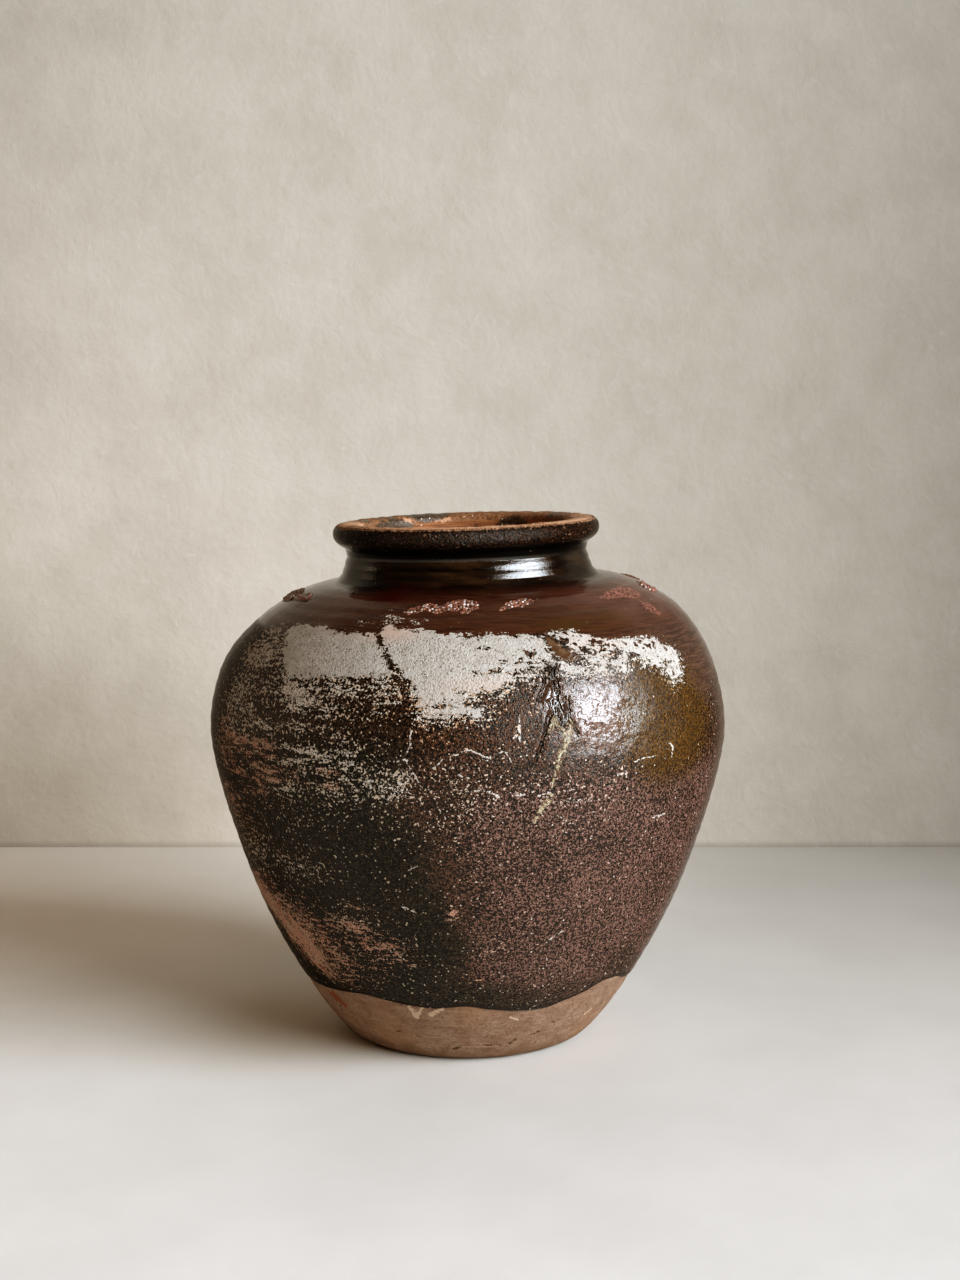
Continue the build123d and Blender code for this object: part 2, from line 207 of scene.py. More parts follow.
# clay showing through: the same
TAN = [(-57.0, 185.6, 7.5, 3.3, .85), (-48.1, 186.2, 6.3, 2.7, .80), (-51.1, 180.2, 7.9, 2.2, .70), (-42.4, 180.5, 4.9, 2.2, .55), (-47.2, 172.9, 6.4, 2.8, .75),
       (-56.6, 166.8, 7.2, 4.9, .50), (-45.7, 166.7, 6.3, 2.8, .75), (-50.3, 158.1, 5.8, 3.7, .60), (-39.1, 174.6, 4.0, 2.3, .50), (-28.2, 176.6, 3.4, 2.2, .75),
       (-27.9, 168.6, 2.8, 2.9, .75), (-36.1, 169.0, 4.4, 2.3, .45), (-44.6, 155.9, 6.3, 3.6, .45), (-62.6, 190.8, 4.7, 11.2, .55), (-64.0, 174.9, 5.7, 9.7, .60),
       (-66.5, 146.1, 9.0, 11.7, .50), (-63.2, 130.1, 9.5, 14.6, .40), (-43.5, 124.2, 5.9, 3.8, .35), (-63.0, 97.0, 10.2, 8.5, .60), (-53.9, 91.4, 9.7, 7.2, .55),
       (-48.0, 83.4, 10.0, 8.5, .62), (-44.0, 73.5, 9.3, 8.5, .62), (-40.1, 63.8, 9.7, 8.6, .60), (-37.9, 54.5, 8.8, 5.9, .50), (-26.8, 99.8, 2.8, 3.0, .50),
       (-30.4, 88.3, 6.9, 4.5, .68), (-24.5, 78.4, 7.2, 5.3, .72), (-20.2, 70.7, 5.3, 4.6, .50), (-27.0, 63.7, 6.7, 4.1, .40), (-3.2, 99.6, 1.2, 2.5, .95),
       (6.3, 79.3, 3.6, 5.0, .40), (3.0, 59.5, 2.5, 3.2, .40), (250.0, 175.0, 16.0, 9.0, .70), (232.0, 150.0, 12.0, 7.0, .50), (205.0, 92.0, 14.0, 9.0, .55),
       (150.0, 78.0, 16.0, 8.0, .45), (120.0, 186.0, 10.0, 5.0, .50), (275.0, 168.0, 8.0, 14.0, .50)]
TAN_BAND = [[(-68.6, 104.7), (-63.5, 100.2), (-59.0, 95.4), (-53.0, 91.3), (-48.4, 85.0), (-45.0, 77.4), (-43.2, 68.9), (-41.8, 59.3), (-41.1, 49.2),
             (-45.6, 46.5), (-51.0, 50.4), (-56.1, 56.2), (-60.7, 63.2), (-64.6, 71.7), (-68.9, 79.7), (-75.5, 85.2), (-77.0, 93.5)]]
# thin marks: angle and height of both ends, half width in mm
CREAM = [(21.2, 203.2, 20.8, 196.9, 1.4), (20.8, 196.9, 19.9, 192.1, 1.63), (19.9, 192.1, 18.7, 186.3, 1.52), (18.7, 186.3, 18.1, 180.7, 1.17),
         (18.1, 205.7, 18.6, 202.7, .93), (18.6, 202.7, 20.1, 197.1, .7), (17.6, 204.7, 16.8, 200.1, .82), (17.7, 177.1, 17.2, 171.4, .55),
         (17.0, 165.4, 15.8, 160.7, 1.52), (15.8, 160.7, 14.3, 153.2, 1.17)]
WHITE = [(-10.9, 199.6, -11.2, 196.5, .7), (-11.2, 196.5, -10.8, 194.6, .64), (-10.8, 194.6, -11.4, 190.8, .64), (0.5, 191.3, 1.8, 190.3, .52),
         (1.8, 190.3, 3.7, 187.7, .5), (3.7, 187.7, 4.7, 187.2, .64), (4.7, 187.2, 7.0, 190.1, .58), (-2.7, 188.3, -0.5, 190.3, .47),
         (-4.8, 185.7, -5.8, 182.5, .47), (-13.2, 185.0, -12.0, 185.7, .7), (-12.0, 185.7, -10.5, 180.1, .47), (-10.5, 180.1, -9.4, 174.9, .35),
         (10.7, 207.5, 10.7, 202.2, .64), (10.7, 202.2, 10.6, 195.8, .58), (10.3, 201.2, 9.7, 197.9, .41), (7.8, 189.6, 8.8, 185.4, .41),
         (36.4, 180.2, 38.6, 181.2, .47), (38.6, 181.2, 41.7, 181.3, .35), (46.5, 186.0, 47.4, 183.1, .87), (47.4, 183.1, 47.1, 179.9, .76),
         (20.9, 81.2, 22.5, 84.6, .64), (22.5, 84.6, 24.5, 86.4, .52), (44.2, 146.4, 47.6, 146.7, .93), (-44.9, 120.1, -41.0, 118.8, .52),
         (-12.5, 125.2, -11.0, 127.1, .52), (-14.8, 103.2, -12.2, 100.6, .58), (1.4, 169.6, 2.5, 170.1, .64), (4.8, 168.9, 6.3, 167.1, .76),
         (9.7, 166.9, 11.3, 167.8, .76), (14.8, 166.8, 16.6, 167.6, .7), (32.5, 174.4, 33.7, 174.5, 1.11), (-1.2, 178.0, 0.2, 177.0, .47)]
CRACK = [(19.8, 231.6, 18.7, 227.6, .58), (18.7, 227.6, 19.5, 223.7, .58), (19.5, 223.7, 19.6, 218.9, .64), (19.6, 218.9, 18.7, 214.2, .64),
         (18.7, 214.2, 19.8, 209.8, .76), (19.8, 209.8, 20.4, 203.4, .87), (17.8, 229.7, 18.3, 225.7, .47), (18.3, 225.7, 18.6, 217.1, .58),
         (18.6, 217.1, 17.4, 214.0, .58), (17.4, 214.0, 18.2, 209.0, .64), (18.2, 209.0, 19.5, 201.6, .58), (21.3, 214.3, 21.5, 204.2, .64),
         (21.5, 204.2, 22.8, 198.6, .47), (16.5, 228.0, 16.8, 223.6, .47), (16.8, 223.6, 15.1, 216.3, .35), (16.9, 206.7, 16.3, 201.6, .64),
         (16.3, 201.6, 14.0, 185.4, .45)]
SCAR = [[(-19.4, 257.6), (-17.2, 260.3), (-14.4, 261.1), (-11.6, 262.4), (-8.7, 261.0), (-6.4, 262.3), (-3.4, 263.4), (-0.7, 263.7),
         (1.9, 262.7), (4.0, 261.9), (3.4, 258.7), (1.0, 257.2), (-1.3, 256.9), (-3.3, 257.8), (-5.3, 258.3), (-7.5, 257.0),
         (-10.5, 257.6), (-13.4, 257.6), (-16.7, 256.7)],
        [(8.4, 257.6), (10.0, 259.7), (12.0, 261.3), (14.7, 262.4), (18.4, 263.0), (20.7, 262.4), (22.5, 261.3), (20.0, 259.7),
         (16.4, 258.7), (13.3, 258.5), (10.5, 257.9), (8.8, 256.7)]]
SCUFF = [[(45.2, 258.9), (50.5, 261.1), (57.8, 262.1), (64.4, 262.2), (66.6, 260.2), (65.9, 257.5), (60.1, 256.3), (55.7, 258.2), (49.2, 258.3)],
         [(60.6, 255.2), (62.6, 252.6), (62.5, 247.7), (59.0, 248.0), (57.5, 251.5)]]
GAP = [[(19.2, 245.3), (20.7, 243.8), (22.5, 239.7), (24.4, 236.2), (25.6, 232.6), (23.3, 232.1), (21.1, 234.2), (19.8, 238.3), (18.9, 242.2)]]
# the mouth: smoked places and pale rubbed ones
SMUT = [(-131, 292.5, 13, 6.0, 1.0), (-158, 299.8, 12, 3.0, 1.0), (152, 291.5, 9, 6.0, 1.0), (-108, 300.0, 9, 3.0, .5), (118, 300.0, 14, 4.0, .45),
        (176, 290.5, 10, 4.0, .45), (-60, 300.0, 7, 3.0, .4), (70, 300.0, 16, 3.0, .35)]
RUB = [(-85, 300.0, 14, 4.0, 1.0), (-143, 296.5, 5, 2.0, .8), (-165, 297.0, 5, 2.0, .9), (-15, 299.6, 50, 2.0, .7), (60, 299.6, 30, 2.0, .7), (95, 300.0, 15, 4.0, .6)]
# lower edge of the glaze
EDGE = [(-180, 39.0), (-165, 42.0), (-150, 38.0), (-135, 35.5), (-118, 38.5), (-100, 40.5), (-82, 36.5), (-64.5, 36.9), (-54.5, 38.1),
        (-43.3, 40.2), (-33.8, 42.1), (-27.0, 41.0), (-17.9, 39.3), (-9.5, 38.6), (-5.0, 39.9), (0.3, 40.6), (7.3, 38.2), (17.3, 35.9),
        (26.5, 35.9), (33.5, 38.8), (40.9, 41.9), (47.7, 45.6), (53.9, 44.9), (66, 39.0), (80, 36.0), (98, 39.5), (115, 43.0), (135, 38.0),
        (155, 36.0), (180, 39.0)]
FOOTMARK = [(-5.7, 9.2, -3.6, 10.9, .58), (6.7, 12.3, 12.3, 11.6, .47), (16.4, 11.8, 18.4, 14.4, .58), (25.6, 17.2, 27.1, 18.3, .52),
            (-52.2, 27.3, -53.0, 24.2, .58), (-19.3, 18.1, -18.6, 17.5, .47), (-26.9, 19.1, -25.9, 19.4, .35), (31.6, 24.8, 32.9, 23.7, .41)]
FOOTPALE = [(-18.5, 37.7, -17.1, 32.3, 1.28), (-11.4, 34.8, -8.5, 38.0, 1.46), (-14.4, 38.6, -16.2, 34.0, .82), (48.5, 24.2, 50.3, 25.5, .7),
            (15.1, 32.0, 17.0, 30.3, .7)]
RUST = [(-50.9, 35.9, -48.5, 29.7, 1.75), (-52.0, 30.8, -46.4, 30.7, 1.17), (-56.3, 35.3, -51.6, 33.6, 1.46)]


def wrap(a):
    return (a + 180.0) % 360.0 - 180.0


def inside_distance(outlines, deg, z):
    """Signed distance in mm along the surface to the edge of the nearest outline, positive inside it."""
    s, r = s_of(z), r_of(z) * math.pi / 180
    best = np.full(deg.shape, -1e3)
    for line in outlines:
        pts = np.array(line, float)
        mid = pts[:, 0].mean()
        a = wrap(deg - mid)
        px, py = pts[:, 0] - mid, s_of(pts[:, 1])
        d2 = np.full(deg.shape, 1e9)
        odd = np.zeros(deg.shape, bool)
        for i in range(len(px)):
            x0, y0, x1, y1 = px[i - 1], py[i - 1], px[i], py[i]
            ex, ey = (x1 - x0) * r, y1 - y0
            wx, wy = (a - x0) * r, s - y0
            t = np.clip((wx * ex + wy * ey) / np.maximum(ex * ex + ey * ey, 1e-9), 0, 1)
            d2 = np.minimum(d2, (wx - ex * t) ** 2 + (wy - ey * t) ** 2)
            if y0 != y1:
                cross = (s >= min(y0, y1)) & (s < max(y0, y1))
                odd ^= cross & (a < (x1 - x0) * (s - y0) / (y1 - y0) + x0)
        d = np.sqrt(d2)
        best = np.maximum(best, np.where(odd, d, -d))
    return best


def spots(rows, deg, z):
    """How thick a cover of soft spots is, 0 to 1."""
    out = np.zeros(deg.shape)
    for a0, z0, wa, wz, k in rows:
        q = (wrap(deg - a0) / wa) ** 2 + ((z - z0) / wz) ** 2
        out = np.maximum(out, k * np.exp(-q * 0.55) * np.clip(2.2 - q * 0.35, 0, 1))
    return out


def holes(rows, deg, z):
    """Signed distance in mm to small oval spots, positive inside."""
    r = r_of(z) * math.pi / 180
    s = s_of(z)
    best = np.full(deg.shape, -1e3)
    for a0, z0, wx, wy in rows:
        q = np.sqrt((wrap(deg - a0) * r / wx) ** 2 + ((s - s_of(z0)) / wy) ** 2)
        best = np.maximum(best, (1 - q) * min(wx, wy))
    return best


def near_lines(rows, deg, z):
    """Distance in mm from thin marks, less their half width."""
    r = r_of(z) * math.pi / 180
    s = s_of(z)
    best = np.full(deg.shape, 1e3)
    for a0, z0, a1, z1, w in rows:
        x0, y0, x1, y1 = a0, s_of(z0), a1, s_of(z1)
        ex, ey = (x1 - x0) * r, y1 - y0
        wx, wy = wrap(deg - x0) * r, s - y0
        t = np.clip((wx * ex + wy * ey) / np.maximum(ex * ex + ey * ey, 1e-9), 0, 1)
        best = np.minimum(best, np.sqrt((wx - ex * t) ** 2 + (wy - ey * t) ** 2) - w)
    return best


def mark_fields(rows, deg, z):
    """For thin marks: signed offset from the nearest one scaled by its half width, and plain distance in mm."""
    r = r_of(z) * math.pi / 180
    s = s_of(z)
    near = np.full(deg.shape, 1e3)
    side = np.full(deg.shape, 50.0)
    for a0, z0, a1, z1, w in rows:
        x0, y0, x1, y1 = a0, s_of(z0), a1, s_of(z1)
        ex, ey = (x1 - x0) * r, y1 - y0
        wx, wy = wrap(deg - x0) * r, s - y0
        l2 = np.maximum(ex * ex + ey * ey, 1e-9)
        t = np.clip((wx * ex + wy * ey) / l2, 0, 1)
        d = np.sqrt((wx - ex * t) ** 2 + (wy - ey * t) ** 2) - w
        sgn = (wx * ey - wy * ex) / np.sqrt(l2) / w
        closer = d < near
        near = np.where(closer, d, near)
        side = np.where(closer, sgn, side)
    return np.clip(side, -20, 20), np.clip(near, -3, 12)


def edge_height(deg):
    e = np.array(EDGE, float)
    x = np.concatenate([e[:-1, 0] - 360, e[:, 0], e[1:, 0] + 360])
    y = np.concatenate([e[:-1, 1], e[:, 1], e[1:, 1]])
    k = np.clip(np.searchsorted(x, wrap(deg), side="right") - 1, 1, len(x) - 3)
    t = (wrap(deg) - x[k]) / (x[k + 1] - x[k])
    # a curve with no overshoot: slopes limited
    m = np.gradient(y, x)
    m0, m1, h = m[k] * 0.8, m[k + 1] * 0.8, x[k + 1] - x[k]
    return (2 * t ** 3 - 3 * t ** 2 + 1) * y[k] + (t ** 3 - 2 * t ** 2 + t) * h * m0 + (3 * t ** 2 - 2 * t ** 3) * y[k + 1] + (t ** 3 - t ** 2) * h * m1


# ---- relief of the outer surface, mm along its normal. It stays in the CAD part's outer box -----
def relief(deg, z):
    phi = np.radians(deg)
    p = np.stack([r_of(z) * np.sin(phi), -r_of(z) * np.cos(phi), z], -1)
    s = s_of(z)
    body = ramp(z, 25, 45) * (1 - ramp(z, 262, 266))
    # turning marks, a slow spiral; stronger below the belly
    turn = 0.10 * np.sin((s + deg / 360 * 9.0) / 9.0 * 2 * math.pi + 0.6 * perlin(p * 0.012, 3)) * body
    turn += 0.06 * np.sin((s + deg / 360 * 3.7) / 3.7 * 2 * math.pi) * body * ramp(perlin(p * 0.02, 5), -0.2, 0.5)
    # the hand-made wall is never quite round
    sway = 0.34 * perlin(p * 0.011, 11)
    # lumps in the glass, most on the right front under the crust
    lumpy = 0.35 + 1.0 * np.exp(-(wrap(deg - 27) / 20) ** 2 - ((z - 212) / 22) ** 2) + 0.35 * np.exp(-(wrap(deg - 45) / 25) ** 2 - ((z - 180) / 45) ** 2)
    lumps = (0.34 * fractal(p * np.array([0.055, 0.055, 0.075]), 21, 3, 0.55)) * lumpy * (0.25 + 0.75 * body)
    # wrinkled run of thick glass
    d = near_lines(CRACK, deg, z)
    run = -0.8 * np.exp(-(np.maximum(d, 0) / 0.9) ** 2) + 0.5 * np.exp(-((d - 2.2) / 1.1) ** 2)
    side = np.exp(-(wrap(deg - 19.2) * r_of(z) * math.pi / 180 / 7.0) ** 2) * ramp(z, 198, 208) * (1 - ramp(z, 226, 234))
    run += 0.7 * side * (0.6 + 0.8 * perlin(p * np.array([0.35, 0.35, 0.09]), 31))
    d = near_lines(CREAM, deg, z)
    run += 0.25 * np.exp(-(np.maximum(d, 0) / 1.2) ** 2)
    # glaze gathers at its lower edge
    e = z - edge_height(deg)
    gather = 0.25 * np.exp(-((e - 4) / 4.0) ** 2)
    gather = gather + np.interp(z, [267.2, 268.2, 269.5, 271.0, 272.5, 274.2, 275.5, 276.8, 278.2], [0, -0.30, -0.50, -0.10, 0.40, 0.68, 0.02, -0.10, 0])
    return turn + sway + lumps + run + gather - 0.20 - 0.34 * np.exp(-((z - 184) / 26.0) ** 2)


# =================================================================================================
# 3. Meshes
# =================================================================================================
def columns(step_front, step_back):
    """Angles in degrees, closer together round the front."""
    a, out = -180.0, []
    while a < 180.0 - 1e-6:
        out.append(a)
        k = float(ramp(np.array(abs(a)), 72, 105))
        a += (step_front * (1 - k) + step_back * k) / (150 * math.pi / 180)
    out = np.array(out)
    return -180 + (out + 180) * 360.0 / (a + 180)


def pick(curve, steps):
    """Rows picked along a dense curve with about the given step, a number or a function of length."""
    s = length_of(curve)
    at, out = 0.0, []
    while at < s[-1]:
        out.append(at)
        at += steps(at) if callable(steps) else steps
    if s[-1] - out[-1] < 0.4 * (at - out[-1]) and len(out) > 2:
        out[-1] = s[-1]
    else:
        out.append(s[-1])
    out = np.array(out)
    return np.stack([np.interp(out, s, curve[:, 0]), np.interp(out, s, curve[:, 1])], -1), np.stack(
        [np.interp(out, s, normals_of(curve)[:, 0]), np.interp(out, s, normals_of(curve)[:, 1])], -1)


def make_mesh(name, points, faces, sharp=None, attributes=None):
    me = bpy.data.meshes.new(name)
    me.from_pydata([], [], [])
    me.vertices.add(len(points))
    me.vertices.foreach_set("co", points.astype(np.float32).ravel())
    faces = [np.asarray(f) for f in faces]
    total = sum(f.size for f in faces)
    n = sum(len(f) for f in faces)
    me.loops.add(total)
    me.polygons.add(n)
    me.loops.foreach_set("vertex_index", np.concatenate([f.ravel() for f in faces]).astype(np.int32))
    starts, at = [], 0
    for f in faces:
        starts.append(at + np.arange(len(f)) * f.shape[1])
        at += f.size
    me.polygons.foreach_set("loop_start", np.concatenate(starts).astype(np.int32))
    me.update(calc_edges=True)
    me.validate()
    me.polygons.foreach_set("use_smooth", np.ones(len(me.polygons), bool))
    if sharp is not None and len(sharp):
        ev = np.zeros(len(me.edges) * 2, np.int32)
        me.edges.foreach_get("vertices", ev)
        ev = ev.reshape(-1, 2)
        is_sharp = np.zeros(len(points), bool)
        flag = np.zeros(len(me.edges), bool)
        for ring in sharp:
            is_sharp[:] = False
            is_sharp[ring] = True
            flag |= is_sharp[ev[:, 0]] & is_sharp[ev[:, 1]]
        at = me.attributes.get("sharp_edge") or me.attributes.new("sharp_edge", "BOOLEAN", "EDGE")
        at.data.foreach_set("value", flag)
    for key, value in (attributes or {}).items():
        if value.ndim == 1:
            a = me.attributes.new(key, "FLOAT", "POINT")
            a.data.foreach_set("value", value.astype(np.float32))
        else:
            a = me.attributes.new(key, "FLOAT_VECTOR", "POINT")
            a.data.foreach_set("vector", value.astype(np.float32).ravel())
    me.update()
    ob = bpy.data.objects.new(name, me)
    bpy.context.scene.collection.objects.link(ob)
    return ob


def ring_faces(rows, cols, start=0, close=True):
    i, j = np.meshgrid(np.arange(rows if close else rows - 1), np.arange(cols), indexing="ij")
    a = start + i * cols + j
    b = start + i * cols + (j + 1) % cols
    c = start + ((i + 1) % rows) * cols + (j + 1) % cols
    d = start + ((i + 1) % rows) * cols + j
    return np.stack([a, b, c, d], -1).reshape(-1, 4)


def ring_piece(name, cols, sections, attributes=None, shape=None):
    """A closed ring. sections: (rows of (radius, height), normals, relief share, is the last row a sharp corner)."""
    deg = cols[None, :]
    pts, sharp, zs, kinds = [], [], [], []
    row = 0
    for k, (curve, normal, share, corner_first, corner_last) in enumerate(sections):
        r, z = curve[:, 0][:, None] + 0 * deg, curve[:, 1][:, None] + 0 * deg
        a = deg + 0 * z
        nr, nz = normal[:, 0][:, None], normal[:, 1][:, None]
        if shape is not None:
            r, z = shape(k, a, r, z)
        if share is not None:
            d = share(a, z)
            r, z = r + nr * d, z + nz * d
        pts.append(place(np.radians(a), r, z))
        zs.append(z)
        kinds.append(np.full(z.shape, float(k)))
        n = len(curve)
        ring = lambda q: row * len(cols) + q * len(cols) + np.arange(len(cols))  # noqa: E731
        if corner_first:
            sharp.append(ring(0))
        if corner_last:
            sharp.append(ring(n - 1))
        row += n
    pts = np.concatenate(pts).reshape(-1, 3)
    z = np.concatenate(zs)
    kind = np.concatenate(kinds)
    a = (deg + 0 * z)
    extra = attributes(a, z, kind) if attributes else {}
    extra = {k: v.reshape(-1) if v.ndim == 2 else v.reshape(-1, 3) for k, v in extra.items()}
    return make_mesh(name, pts, [ring_faces(row, len(cols))], sharp, extra)


# ---- glaze --------------------------------------------------------------------------------------
Z0 = 30.0
glaze_out = chain(OUT[(OUT[:, 1] >= Z0) & (OUT_S < s_of(286.0) + 1e-6)], spline(RIM_ROLL))
g_rows, g_norm = pick(glaze_out, lambda s: 1.95 if s < 240 else (1.6 if s < 285 else (1.05 if s < s_of(267.0) or s > s_of(279.0) else 0.7)))
cols_glaze = columns(1.42, 4.4)


def clay_offset(deg, z):
    """How far the clay lies under the glaze surface, square to it."""
    return GLAZE * np.clip((z - 30.0) / 10.0, 0.0, 1)


def glaze_shape(k, a, r, z):
    """Moves the lower rows onto the wavy edge."""
    e = edge_height(a)
    top = 72.0
    moved = np.where(z < top, e + (z - Z0) * (top - e) / (top - Z0), z)
    if k in (0, 3):
        r = np.where(z < top, r_of(moved) + (r - r_of(z)), r)
    return r, moved


def glaze_attributes(a, z, kind):
    phi = np.radians(a)
    r = r_of(z)
    s = s_of(z)
    p = np.stack([r * np.sin(phi), -r * np.cos(phi), z], -1)
    lime = inside_distance(LIME, a, z)
    lime = np.minimum(lime, -holes(ISLANDS, a, z) * 1.3)
    gap = inside_distance(GAP, a, z)
    lime = np.minimum(lime, -gap)
    speck = spots(SPECK, a, z)
    band = np.clip((lime + 10) / 10, 0, 1) * ramp(250 - z, 4, 22) * 0.52
    speck = np.maximum(speck, band)
    tan = spots(TAN, a, z)
    tan_band = inside_distance(TAN_BAND, a, z)
    front = wrap(a)
    olive = np.clip(1.25 * np.exp(-((front - 47.5) / 15.5) ** 2 - ((z - 199) / 34.0) ** 2), 0, 1)
    # how glassy and even the surface is: above the crust, in the gap, on the lumps, a little on the right
    glassy = ramp(z, 243, 250)
    glassy = np.maximum(glassy, ramp(gap, -0.6, 0.8) * 0.75)
    glassy = np.maximum(glassy, 0.82 * np.exp(-((front - 28.5) / 12.5) ** 2 - ((z - 206) / 25) ** 2))
    glassy = np.maximum(glassy, 0.8 * np.exp(-((front - 18.5) / 4.5) ** 2 - ((z - 214) / 14) ** 2))
    glassy = np.maximum(glassy, 0.55 * ramp(front, 58, 74) * (1 - ramp(front, 120, 150)))
    glassy = np.maximum(glassy, 0.9 * ramp(front + 30 * ramp(z, 225, 246), 50, 60) * ramp(z + 14 * perlin(p * 0.04, 83), 196, 228) * (1 - ramp(front, 110, 140)))
    glassy = np.maximum(glassy, 0.35 * ramp(-front, 66, 80) * (1 - ramp(-front, 120, 150)))
    wob = fractal(p * 0.022, 41, 2)
    # tone zones: greenish black on the left, dark brown in the middle, purple brown low on the right
    black = ramp(-front + 11 * wob + 8 * (1 - ramp(z, 60, 112)), 1, 16) * (1 - ramp(-front, 120, 160)) * (1 - 0.55 * ramp(z, 178, 200))
    black = np.maximum(black, (0.75 - 0.35 * ramp(front, 10, 40)) * (1 - ramp(z - edge_height(a) + 10 * wob, 4, 26)))
    purple = ramp(front + 12 * wob, -10, 16) * (1 - ramp(front, 130, 165)) * (1 - ramp(z, 154, 190))
    dash = np.exp(-((front + 44) / 20) ** 4) * ramp(z, 140, 152) * (1 - ramp(z, 200, 214))
    red = np.exp(-((front + 28) / 7) ** 2 - ((z - 264.5) / 3.0) ** 2) + 0.35 * np.exp(-((front + 12) / 12) ** 2 - ((z - 265) / 3.0) ** 2) + 0.3 * np.exp(-((front - 40) / 20) ** 2 - ((z - 264) / 3.0) ** 2)
    amber = np.exp(-((z - 250) / 4.5) ** 2) * ramp(front + 10 * wob, 4, 22) * (1 - ramp(front, 38, 52)) * (1 - ramp(lime, -1.0, 1.5))
    warm = np.maximum(ramp(front, 14, 50), 0.9 * ramp(-front, 26, 48)) * ramp(z, 243, 252)
    wear = ramp(z, 297.2, 299.2) + 0.25 * ramp(z, 289, 292) * ramp(perlin(p * 0.05, 51), -0.1, 0.5)
    w_side, w_near = mark_fields(WHITE, a, z)
    c_side, c_near = mark_fields(CREAM, a, z)
    k_side, k_near = mark_fields(CRACK, a, z)
    return {"side": np.stack([w_side, c_side, k_side], -1), "near": np.stack([w_near, c_near, k_near], -1),
            "lime": np.clip(lime, -12, 12), "speck": speck, "tan": tan, "tanband": np.clip(tan_band, -12, 12),
            "scuff": np.clip(inside_distance(SCUFF, a, z), -12, 12), "olive": olive, "glassy": glassy, "black": black, "purple": purple, "dash": dash,
            "orange": np.exp(-((front + 2) / 28) ** 2 - ((z - 208) / 24) ** 2) + 0.6 * np.exp(-((front - 33) / 9) ** 2 - ((z - 240) / 9) ** 2),
            "holey": 0.25 + 0.75 * ramp(front, 14, 24), "pink": spots([(-19.5, 249.5, 5.0, 3.5, 1.0), (-24.5, 247, 2.5, 2.0, .5), (-13, 211, 5, 4, .8), (5, 222, 8, 4, .5), (30, 240, 6, 3, .35), (-33, 249, 6, 2, .4)], a, z),
            "gap": ramp(gap, -0.4, 0.6), "lumpy": np.exp(-((front - 30) / 12) ** 2 - ((z - 201) / 27) ** 2),
            "red": red, "amber": amber, "warm": warm, "edge": np.clip(z - edge_height(a), 0, 40), "wear": wear, "hgt": z}


lip = np.array([0.0, 0.35, 0.65, 0.87, 1.0])
inner = chain(OUT[(OUT[:, 1] >= Z0) & (OUT_S < s_of(286.0) + 1e-6)], spline(RIM_CLAY))
i_rows, i_norm = pick(inner[::-1], 8.0)
i_norm = -i_norm
outer_rows = np.concatenate([np.repeat(g_rows[:1], 3, 0), g_rows])
outer_norm = np.concatenate([np.repeat(g_norm[:1], 3, 0), g_norm])
outer_rows[:3, 1] += [0.0, 0.02, 0.15]


def outer_share(a, z):
    d = relief(a, z)
    e = z - edge_height(a)
    k = np.clip(e / 1.6, 0, 1)
    return d - GLAZE * 0.95 * (1 - np.sqrt(np.clip(1 - (1 - k) ** 2, 0, 1))) * np.clip((z - 30.0) / 10.0, 0, 1)


def inner_share(a, z):
    on_rim = z > 286.2
    return relief(a, z) - np.where(on_rim, 0.0, clay_offset(a, z)) + 0.02


glaze = ring_piece("glaze_jacket", cols_glaze, [
    (outer_rows, outer_norm, outer_share, False, True),
    (i_rows, i_norm, inner_share, True, False)], glaze_attributes, glaze_shape)

# ---- clay sections ------------------------------------------------------------------------------
cols_clay = columns(1.6, 3.0)
cols_in = columns(3.0, 3.6)


def clay_share(a, z):
    return relief(a, z) - clay_offset(a, z)


def foot_share(a, z):
    """Relief of the bare foot: turning marks and a soft unevenness, nothing at the joint of two sections."""
    phi = np.radians(a)
    p = np.stack([r_of(z) * np.sin(phi), -r_of(z) * np.cos(phi), z], -1)
    d = relief(a, z) * ramp(z, 26, 46)
    d += (1 - ramp(z, 26, 46)) * (0.16 * fractal(p * 0.06, 61, 3) - 0.28 + 0.05 * np.sin(z / 3.1 * 2 * math.pi + phi))
    d = d * ramp(z, -0.5, 1.5)
    marks = near_lines(FOOTMARK, a, z)
    return d - 0.5 * np.exp(-(np.maximum(marks, 0) / 0.6) ** 2) - clay_offset(a, z)


def plain_in(a, z):
    return 0.25 * np.sin(z / 7.0 * 2 * math.pi + np.radians(a)) + 0.1 * np.sin(z / 2.6 * 2 * math.pi)


def foot_marks(a, z):
    m_side, m_near = mark_fields(FOOTMARK, a, z)
    p_side, p_near = mark_fields(FOOTPALE, a, z)
    r_side, r_near = mark_fields(RUST, a, z)
    return {"side": np.stack([m_side, p_side, r_side], -1), "near": np.stack([m_near, p_near, r_near], -1)}


def clay_attributes(a, z, kind):
    return {"hgt": z, "inside": (kind > 0.5).astype(float), "edge": z - edge_height(a), **foot_marks(a, np.where(kind > 0.5, 200.0, z))}


foot_curve = OUT[(OUT[:, 1] >= 11.0) & (OUT[:, 1] <= 180.0)]
w_rows, w_norm = pick(foot_curve, lambda s: 1.0 if s < 46 else 4.0)
wi = spline(BELLY_IN)[::-1]
wi_rows, wi_norm = pick(wi, 3.0)
wall = ring_piece("wall_clay", cols_clay, [(w_rows, w_norm, foot_share, True, True), (wi_rows, wi_norm, lambda a, z: plain_in(a, z) * ramp(z, 11, 20) * (1 - ramp(z, 170, 179)), True, True)], clay_attributes)

